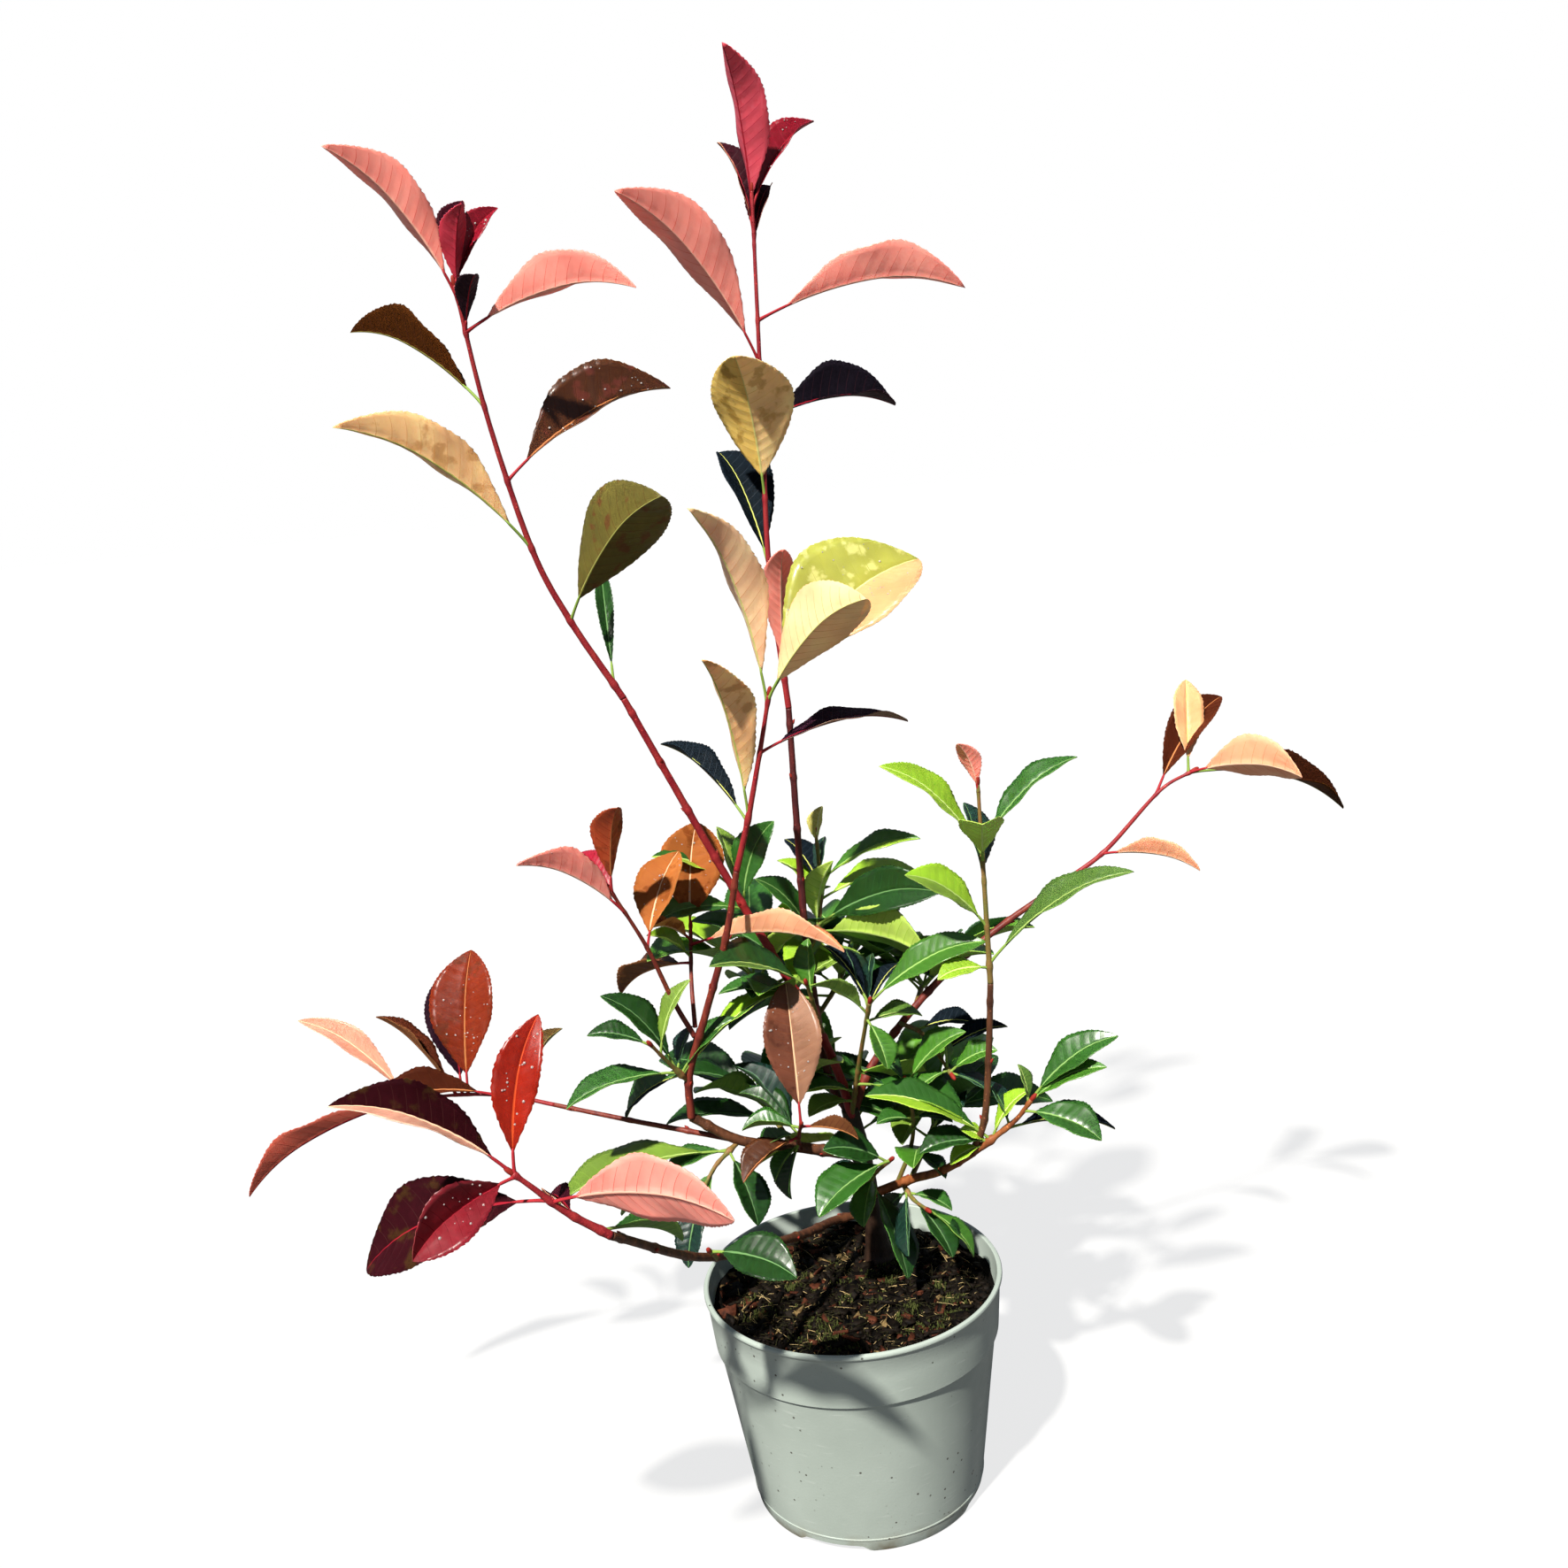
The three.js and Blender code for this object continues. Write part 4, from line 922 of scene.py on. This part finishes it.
def drops(batch, leaf):
    """Rain beads on a leaf's upper face."""
    for number in range(int(leaf.length / DROP_SPACING)):
        far, sideways, size = chances(leaf.seed * 31 + number * 7, 3)
        radius = 0.3 + 0.5 * size ** 2
        seat = surface(leaf, np.array([0.15 + 0.7 * far]), np.array([1.7 * (sideways - 0.5)]))[0]
        centre = seat + leaf.up * (BLADE_THICKNESS / 2 + 0.35 * radius)
        egg(batch, centre, leaf.up, radius * 1.2, radius, DROP_SIDES, "water")


# --- Stems ---


def bark_rings(axis, foot, tip, sides, nodes, seed, flare=False):
    """The points of a stem and the radii of its rings, with lumps, ridges and swollen nodes."""
    shares = np.linspace(0, 1, max(4, round(axis.length / RING_STEP)))
    points = axis.at(shares)
    radii = foot + (tip - foot) * shares
    if flare:
        radii = radii + FLARE * np.exp(-(points[:, 2] - SOIL_TOP) / FLARE_HEIGHT)
    for node in nodes:
        away = (shares - node) * axis.length
        radii = radii + radii * NODE_SWELL * np.exp(-(away / NODE_SPREAD) ** 2)
    length = shares[:, None] * axis.length
    angle = angles_of(sides)[None]
    lumps = (
        np.sin(3 * angle + 0.11 * length + seed) * 0.45
        + np.sin(0.63 * length + 2 * angle + seed * 2) * 0.3
        + np.sin(5 * angle - 0.37 * length + seed) * 0.35
        + np.sin(1.7 * length + seed) * 0.25)
    return points, radii[:, None] * (1 + BARK_RELIEF * lumps)


def bud(batch, axis, share, radius, bearing):
    """A small pointed bud that leans out of a stem."""
    ahead = unit(axis.at(min(1, share + 0.02)) - axis.at(max(0, share - 0.02)))
    out = np.array([math.cos(bearing), math.sin(bearing), 0])
    out = unit(out - ahead * (out @ ahead))
    lean = unit(out * 0.6 + ahead)
    shape = [0.9, 1.2, 1.15, 0.9, 0.55, 0.1]
    heights = np.linspace(0, 4.2 * BUD_SIZE, len(shape))
    points = axis.at(share) + out * radius * 0.7 + np.outer(heights, lean)
    tube(batch, points, BUD_SIZE * np.array(shape), STALK_SIDES, "bud")


def grow_limbs():
    """The trunk and each bough, in its bark and with its buds."""
    for number, (name, (bends, foot, tip, bark)) in enumerate(LIMBS.items()):
        axis, batch, is_trunk = Axis(bends), Batch(), name == "trunk"
        count = max(1, int(axis.length / (TRUNK_NODE_GAP if is_trunk else NODE_GAP)))
        nodes = [node for node in (np.arange(count) + 0.7) / count if node < 0.97]
        sides = TRUNK_SIDES if is_trunk else BOUGH_SIDES
        points, radii = bark_rings(axis, foot, tip, sides, nodes, number, is_trunk)
        if is_trunk:
            kept = points[:, 2] > SOIL_TOP + 0.3
            points, radii = points[kept], radii[kept]
        tube(batch, points, radii, sides, f"{bark}_bark")
        for at, node in enumerate(nodes):
            bearing = math.radians(at * TURN + number * 60)
            bud(batch, axis, node, foot + (tip - foot) * node, bearing)
        yield batch.build(f"{name}_bark"), "bark", [name]


def inside_space(point):
    """Clear of the pot's wall and rim, and above the compost."""
    radius = math.hypot(point[0], point[1])
    over_pot = radius < RIM_RADIUS - 6 and point[2] > SOIL_TOP + POT_CLEARANCE
    return over_pot or point[2] > POT_HEIGHT + POT_CLEARANCE or radius > RIM_RADIUS + POT_CLEARANCE


def fill_leaf(axis, seed, number, total, low_corner, high_corner, filled):
    """A ruled leaf at the first bearing where it has room, or nothing."""
    rise, longer, turned, _, _, kind = chances(seed * 100 + number * 3, 6)
    share = FILL_FROM + FILL_SPAN * (number + 0.5) / total
    rise = FILL_RISE + FILL_RISE_SPREAD * (rise - 0.35)
    length = FILL_LENGTH + FILL_LENGTH_SPREAD * longer
    roll = FILL_ROLL * (turned - 0.5)
    tint = RULED_TINTS[int(kind * len(RULED_TINTS))]
    taken = np.concatenate(filled)
    for turn in range(TRIES):
        compass = (number * TURN + seed * 70 + turn * TRY_TURN) % 360
        leaf = Leaf(axis, OLD_FOLD, tint, share, compass, rise, length, roll)
        samples = leaf.samples()
        away = np.linalg.norm(samples[:, None] - taken[None], axis=2).min()
        in_box = (samples > low_corner).all() and (samples < high_corner).all()
        if in_box and away > LEAF_CLEARANCE and all(inside_space(point) for point in samples):
            return leaf
    return None


def grow_leaves():
    """Every mass with its axis and its leaves: the given ones, then the ruled ones."""
    limbs = [Axis(bends) for bends, *_ in LIMBS.values()]
    filled = [axis.spread(max(2, round(axis.length / 6))) for axis in limbs]
    grown = {}
    for name, (bends, _, _, bark, *rows) in MASSES.items():
        axis = Axis(bends)
        fold = YOUNG_FOLD if bark in YOUNG_BARKS else OLD_FOLD
        leaves = [Leaf(axis, fold, *row) for row in rows]
        filled.append(axis.spread(9))
        filled.extend(leaf.samples() for leaf in leaves)
        grown[name] = axis, leaves
    corners = [np.array(corner) / MM for corner in cad_box]
    total = round(FILL_COUNT * FILL_MORE)
    for name, seed in FILL_SEEDS.items():
        axis, leaves = grown[name]
        for number in range(total):
            leaf = fill_leaf(axis, seed, number, total, *corners, filled)
            if leaf:
                leaves.append(leaf)
                filled.append(leaf.samples())
    return grown


def grow_masses():
    """Each group's leaves in one piece and its twigs in another, then the rain on them all."""
    grown = grow_leaves()
    beads = Batch()
    for group, names in GROUPS.items():
        foliage, twigs = Batch(), Batch()
        for number, name in enumerate(names):
            _, foot, tip, bark, *_ = MASSES[name]
            axis, leaves = grown[name]
            nodes = [leaf.share for leaf in leaves]
            rings = bark_rings(axis, foot, tip, TWIG_SIDES, nodes, number + len(name))
            tube(twigs, *rings, TWIG_SIDES, f"{bark}_bark")
            ahead = unit(axis.at(1) - axis.at(0.96))
            egg(twigs, axis.at(1) + ahead * 2, ahead, *END_BUD, STALK_SIDES, "bud")
            for leaf in leaves:
                blade(foliage, leaf)
                petiole(twigs, leaf)
                if leaf.left in WET_TINTS:
                    drops(beads, leaf)
        slot = "new_foliage" if MASSES[names[0]][3] in YOUNG_BARKS else "foliage"
        yield foliage.build(f"{group}_foliage"), slot, [f"{name}_leaves" for name in names]
        yield twigs.build(f"{group}_twigs"), "bark", []
    yield beads.build("rain_beads"), "foliage", []


# --- Pot and compost ---


def circles(outline, sides):
    """Level rings of points about the pot's axis, from pairs of radius and height."""
    angle = angles_of(sides)
    return np.array([
        np.stack([radius * np.cos(angle), radius * np.sin(angle), np.full(sides, height)], -1)
        for radius, height in outline])


def pot_outline():
    """Radius and height up the outside from the hollow under the base, and down the inside."""
    collar_foot = POT_HEIGHT - COLLAR_HEIGHT
    lip = POT_HEIGHT - LIP_HEIGHT
    body_top = RIM_RADIUS - COLLAR_TAPER - COLLAR_STEP
    collar_top = RIM_RADIUS - LIP_DEPTH
    collar_low = collar_top - COLLAR_TAPER
    slope = (body_top - BASE_RADIUS) / collar_foot
    mould = BASE_RADIUS + slope * MOULD_LINE
    parts = [
        (BASE_RADIUS, 0, [(-33.5, HOLLOW), (-7.5, HOLLOW), (-6.5, 0.2), (-2.2, 0), (-0.6, 0.25),
                          (0, 1.4)]),
        (mould, MOULD_LINE, [(-0.1, -0.7), (0.35, -0.3), (0.35, 0.3), (0.05, 0.7)]),
        (BASE_RADIUS, 0, [(slope * 40, 40), (slope * 75, 75)]),
        (body_top, collar_foot, [(-0.3, -3), (0.1, -1.3), (0.7, -0.8)]),
        (collar_low, collar_foot, [(-0.7, -0.5), (-0.1, 0), (0, 0.9), (1.5, 18)]),
        (collar_top, lip, [(-0.3, -0.6), (0.1, 0)]),
        (RIM_RADIUS, lip, [(-0.2, 0.8), (0, 1.4)]),
        (RIM_RADIUS, POT_HEIGHT, [(0, -1), (-0.4, -0.3), (-1.1, 0), (-2.4, 0), (-3.1, -0.5),
                                  (-3.4, -2)]),
        (-WALL, 0, [(collar_low, collar_foot), (body_top, collar_foot - COLLAR_STEP),
                    (BASE_RADIUS + slope * FLOOR, FLOOR)])]
    return [(radius + out, height + up) for radius, height, steps in parts for out, up in steps]


def arch_cutter(bearing):
    """A block that cuts one drainage arch out of the pot's foot."""
    half = math.tan(math.radians(ARCH_SPAN / 2)) * BASE_RADIUS
    near = BASE_RADIUS * math.cos(math.radians(ARCH_SPAN / 2)) - ARCH_DEPTH
    right = [(half + ARCH_HEIGHT, -1), (half, 1.2), (half - 4, ARCH_HEIGHT - 0.4),
             (half - 8, ARCH_HEIGHT)]
    profile = [(-right[0][0], -1)] + right + [(-x, z) for x, z in right[:0:-1]]
    turn = math.radians(bearing)
    verts = [(x * math.cos(turn) + y * math.sin(turn), x * math.sin(turn) - y * math.cos(turn), z)
             for y in (near, 2 * BASE_RADIUS) for x, z in profile]
    count = len(profile)
    faces = [list(range(count))[::-1], list(range(count, 2 * count))]
    faces += [[at, (at + 1) % count, count + (at + 1) % count, count + at] for at in range(count)]
    mesh = bpy.data.meshes.new("arch")
    mesh.from_pydata([[c * MM for c in vert] for vert in verts], [], faces)
    return new_object("arch", mesh)


def make_pot():
    batch = Batch()
    rings = circles(pot_outline(), POT_SIDES)
    batch.add_rings(rings, [(0, 0, HOLLOW), (0, 0, FLOOR)], "pot_plastic")
    pot = batch.build("nursery_pot")
    for number in range(ARCH_COUNT):
        cutter = arch_cutter(ARCH_FIRST + number * 360 / ARCH_COUNT)
        cut = pot.modifiers.new("arch", "BOOLEAN")
        cut.operation = "DIFFERENCE"
        cut.solver = "EXACT"
        cut.object = cutter
        with bpy.context.temp_override(object=pot, active_object=pot):
            bpy.ops.object.modifier_apply(modifier=cut.name)
        bpy.data.objects.remove(cutter)
    with bpy.context.temp_override(object=pot, active_object=pot, selected_editable_objects=[pot]):
        bpy.ops.object.shade_smooth_by_angle(angle=math.radians(POT_CREASE))
    yield pot, "pot_plastic", ["pot"]


def soil_height(x, y):
    """Height of the compost: even about the trunk, lumpy further out."""
    foot_x, foot_y = LIMBS["trunk"][0][0][:2]
    away = np.clip(np.hypot(x - foot_x, y - foot_y) / SOIL_FLAT - 1, 0, 1)
    lumps = np.sin(0.11 * x + 1.7) * np.cos(0.13 * y) + np.sin(0.27 * x - 0.19 * y) / 2
    grit = (np.sin(1.3 * x + 0.7 * y) * np.sin(1.1 * y - 0.6 * x) * 0.7
            + np.sin(2.9 * x) * np.sin(2.6 * y) * 0.4)
    return SOIL_TOP + away * SOIL_RELIEF * (lumps - 0.3) / 1.5 + grit


def soil_spot(reach, far, around):
    """A place on the compost, from two chances."""
    away, bearing = reach * math.sqrt(far), WHOLE_TURN * around
    x, y = away * math.cos(bearing), away * math.sin(bearing)
    return np.array([x, y, float(soil_height(x, y))])


def soil_body(radius):
    """The compost that fills the pot, up to its uneven top."""
    batch = Batch()
    floor = FLOOR + SOIL_GAP
    wall = circles([(SOIL_FOOT_RADIUS, floor), (SOIL_WAIST_RADIUS, SOIL_WAIST_HEIGHT)], SOIL_SIDES)
    spread = np.linspace(radius, radius / SOIL_RINGS, SOIL_RINGS)
    top = circles([(one, 0) for one in spread], SOIL_SIDES)
    top[..., 2] = soil_height(top[..., 0], top[..., 1])
    ends = [(0, 0, floor), (0, 0, float(soil_height(0, 0)))]
    batch.add_rings(np.concatenate([wall, top]), ends, "soil")
    return batch


def bark_chips(radius):
    """Broken flakes with uneven corners."""
    batch = Batch()
    cube = np.array([[x, y, z] for z in (-1, 1) for y in (-1, 1) for x in (-1, 1)], float)
    sides = [[0, 2, 3, 1], [4, 5, 7, 6], [0, 1, 5, 4], [2, 6, 7, 3], [0, 4, 6, 2], [1, 3, 7, 5]]
    for number in range(CHIP_COUNT):
        far, around, big, wide, high, kind, turn, tilt, pale = chances(CHIP_SEED + number * 9, 9)
        centre = soil_spot(radius - 6, far, around) + [0, 0, 0.7]
        long = 1.6 + 10 * big ** 3
        size = np.array([long, long * (0.35 + 0.4 * wide), 0.6 + 2 * high])
        seed = int(abs(centre[0] * 13 + centre[1] * 7) + 1)
        jitter = np.array([[one - 0.5 for one in chances(seed + 3 * at, 3)] for at in range(8)])
        spin = Matrix.Rotation(6.3 * turn, 3, "Z") @ Matrix.Rotation(2.2 * (tilt - 0.5), 3, "X")
        look = "dark_chip" if kind < 0.82 else "red_chip" if pale < 0.7 else "tan_chip"
        batch.add((cube + jitter * 0.7) * size / 2 @ np.array(spin).T + centre, sides, look)
    return batch


def straw_fibres(radius):
    """Thin bowed shreds that lie on the chips."""
    batch = Batch()
    for number in range(FIBRE_COUNT):
        far, around, turn, long, climb, arch, thick, kind = chances(FIBRE_SEED + number * 9, 8)
        centre = soil_spot(radius - 12, far, around) + [0, 0, 1.6]
        bearing = 6.3 * turn
        half = (1.5 + 8 * long ** 3) * np.array([
            math.cos(bearing), math.sin(bearing), 0.25 * (climb - 0.5)])
        bow = np.array([0, 0, 0.7 * arch])
        points = [
            centre - half, centre - half * 0.4 + bow, centre + half * 0.4 + bow, centre + half]
        tube(batch, points, np.full(4, 0.12 + 0.14 * thick), 4, "straw" if kind < 0.22 else "shred")
    return batch


def moss_tufts(radius):
    """Short leaning strands in clumps, towards the front of the pot."""
    batch = Batch()
    for number in range(TUFT_COUNT):
        seed = TUFT_SEED + number * 40
        centre = soil_spot(radius - 14, *chances(seed, 2)) * [0.9, 0.7, 1] + [0, -18, 0]
        for strand in range(TUFT_STRANDS):
            aside, along, tall, _, lean_x, lean_y = chances(seed + strand * 3, 6)
            x, y = centre[0] + 9 * (aside - 0.5), centre[1] + 7 * (along - 0.5)
            base = np.array([x, y, float(soil_height(x, y))])
            lean = unit(np.array([lean_x - 0.5, lean_y - 0.5, 1.2]))
            rise = np.outer(np.linspace(0, 1.5 + 2.5 * tall, 4), lean)
            tube(batch, base + rise, [0.5, 0.6, 0.45, 0.1], 5, "moss")
    return batch


def make_compost():
    collar_run = COLLAR_TAPER * (POT_HEIGHT - SOIL_TOP) / COLLAR_HEIGHT
    radius = RIM_RADIUS - LIP_DEPTH - collar_run - WALL - SOIL_GAP
    yield soil_body(radius).build("compost_body"), "compost", ["compost"]
    for name, batch in (
            ("bark_chips", bark_chips(radius)), ("straw_fibres", straw_fibres(radius)),
            ("moss_tufts", moss_tufts(radius))):
        yield batch.build(name), "compost", []


# --- Stage ---


def make_floor():
    """A plain pale floor that glows a little to the camera alone."""
    mesh = bpy.data.meshes.new("floor")
    corners = [(-1, -1), (1, -1), (1, 1), (-1, 1)]
    mesh.from_pydata([(x * STAGE_HALF, y * STAGE_HALF, 0) for x, y in corners], [], [(0, 1, 2, 3)])
    look = Look(
        "floor", Roughness=1.0, Base_Color=linear(FLOOR_TONE), Emission_Color=linear("#FFFFFF"))
    seen = look.nodes.new("ShaderNodeLightPath").outputs["Is Camera Ray"]
    look.links.new(look.steps(seen, 0, 1, 0, FLOOR_GLOW), look.shader.inputs["Emission Strength"])
    mesh.materials.append(look.material)
    new_object("floor", mesh)


def make_sky():
    """A soft light from all round, seen by the camera as a white backdrop."""
    world = bpy.context.scene.world or bpy.data.worlds.new("world")
    bpy.context.scene.world = world
    world.use_nodes = True
    nodes, links = world.node_tree.nodes, world.node_tree.links
    path = nodes.new("ShaderNodeLightPath")
    choice = nodes.new("ShaderNodeMixShader")
    links.new(path.outputs["Is Camera Ray"], choice.inputs["Fac"])
    sky, backdrop = nodes["Background"], nodes.new("ShaderNodeBackground")
    lights = ((sky, linear(SKY_COLOUR), SKY_LIGHT), (backdrop, (1, 1, 1, 1), BACKDROP))
    for at, (node, colour, strength) in enumerate(lights, 1):
        node.inputs["Color"].default_value = colour
        node.inputs["Strength"].default_value = strength
        links.new(node.outputs["Background"], choice.inputs[at])
    links.new(choice.outputs["Shader"], nodes["World Output"].inputs["Surface"])


def make_sun():
    data = bpy.data.lights.new("key", "SUN")
    data.energy = KEY_LIGHT
    data.color = KEY_COLOUR
    data.angle = math.radians(KEY_SPREAD)
    lamp = new_object("key", data)
    lamp.rotation_euler = Vector(KEY_TRAVEL).to_track_quat("-Z", "Y").to_euler()


def make_camera():
    """The photograph's view: a wide lens close by, looking down a little and tilted."""
    yaw, pitch, roll = map(math.radians, CAMERA_TURNS)
    ahead = np.array([
        math.sin(yaw) * math.cos(pitch), math.cos(yaw) * math.cos(pitch), -math.sin(pitch)])
    level = np.array([math.cos(yaw), -math.sin(yaw), 0])
    above = np.cross(level, ahead)
    right = math.cos(roll) * level + math.sin(roll) * above
    up = -math.sin(roll) * level + math.cos(roll) * above
    data = bpy.data.cameras.new("camera")
    data.lens = CAMERA_LENS
    data.sensor_width = SENSOR_WIDTH
    data.sensor_fit = "HORIZONTAL"
    camera = new_object("camera", data)
    camera.matrix_world = Matrix([*zip(right, up, -ahead, CAMERA_PLACE), (0, 0, 0, 1)])
    bpy.context.scene.camera = camera


# --- Scene ---

make_looks()
pieces = [*make_pot(), *make_compost(), *grow_limbs(), *grow_masses()]
for piece, slot, nodes in pieces:
    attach(piece, "root")
    if nodes:
        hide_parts(*nodes)
make_floor()
make_sky()
make_sun()
make_camera()
bpy.context.scene.view_settings.view_transform = "Standard"
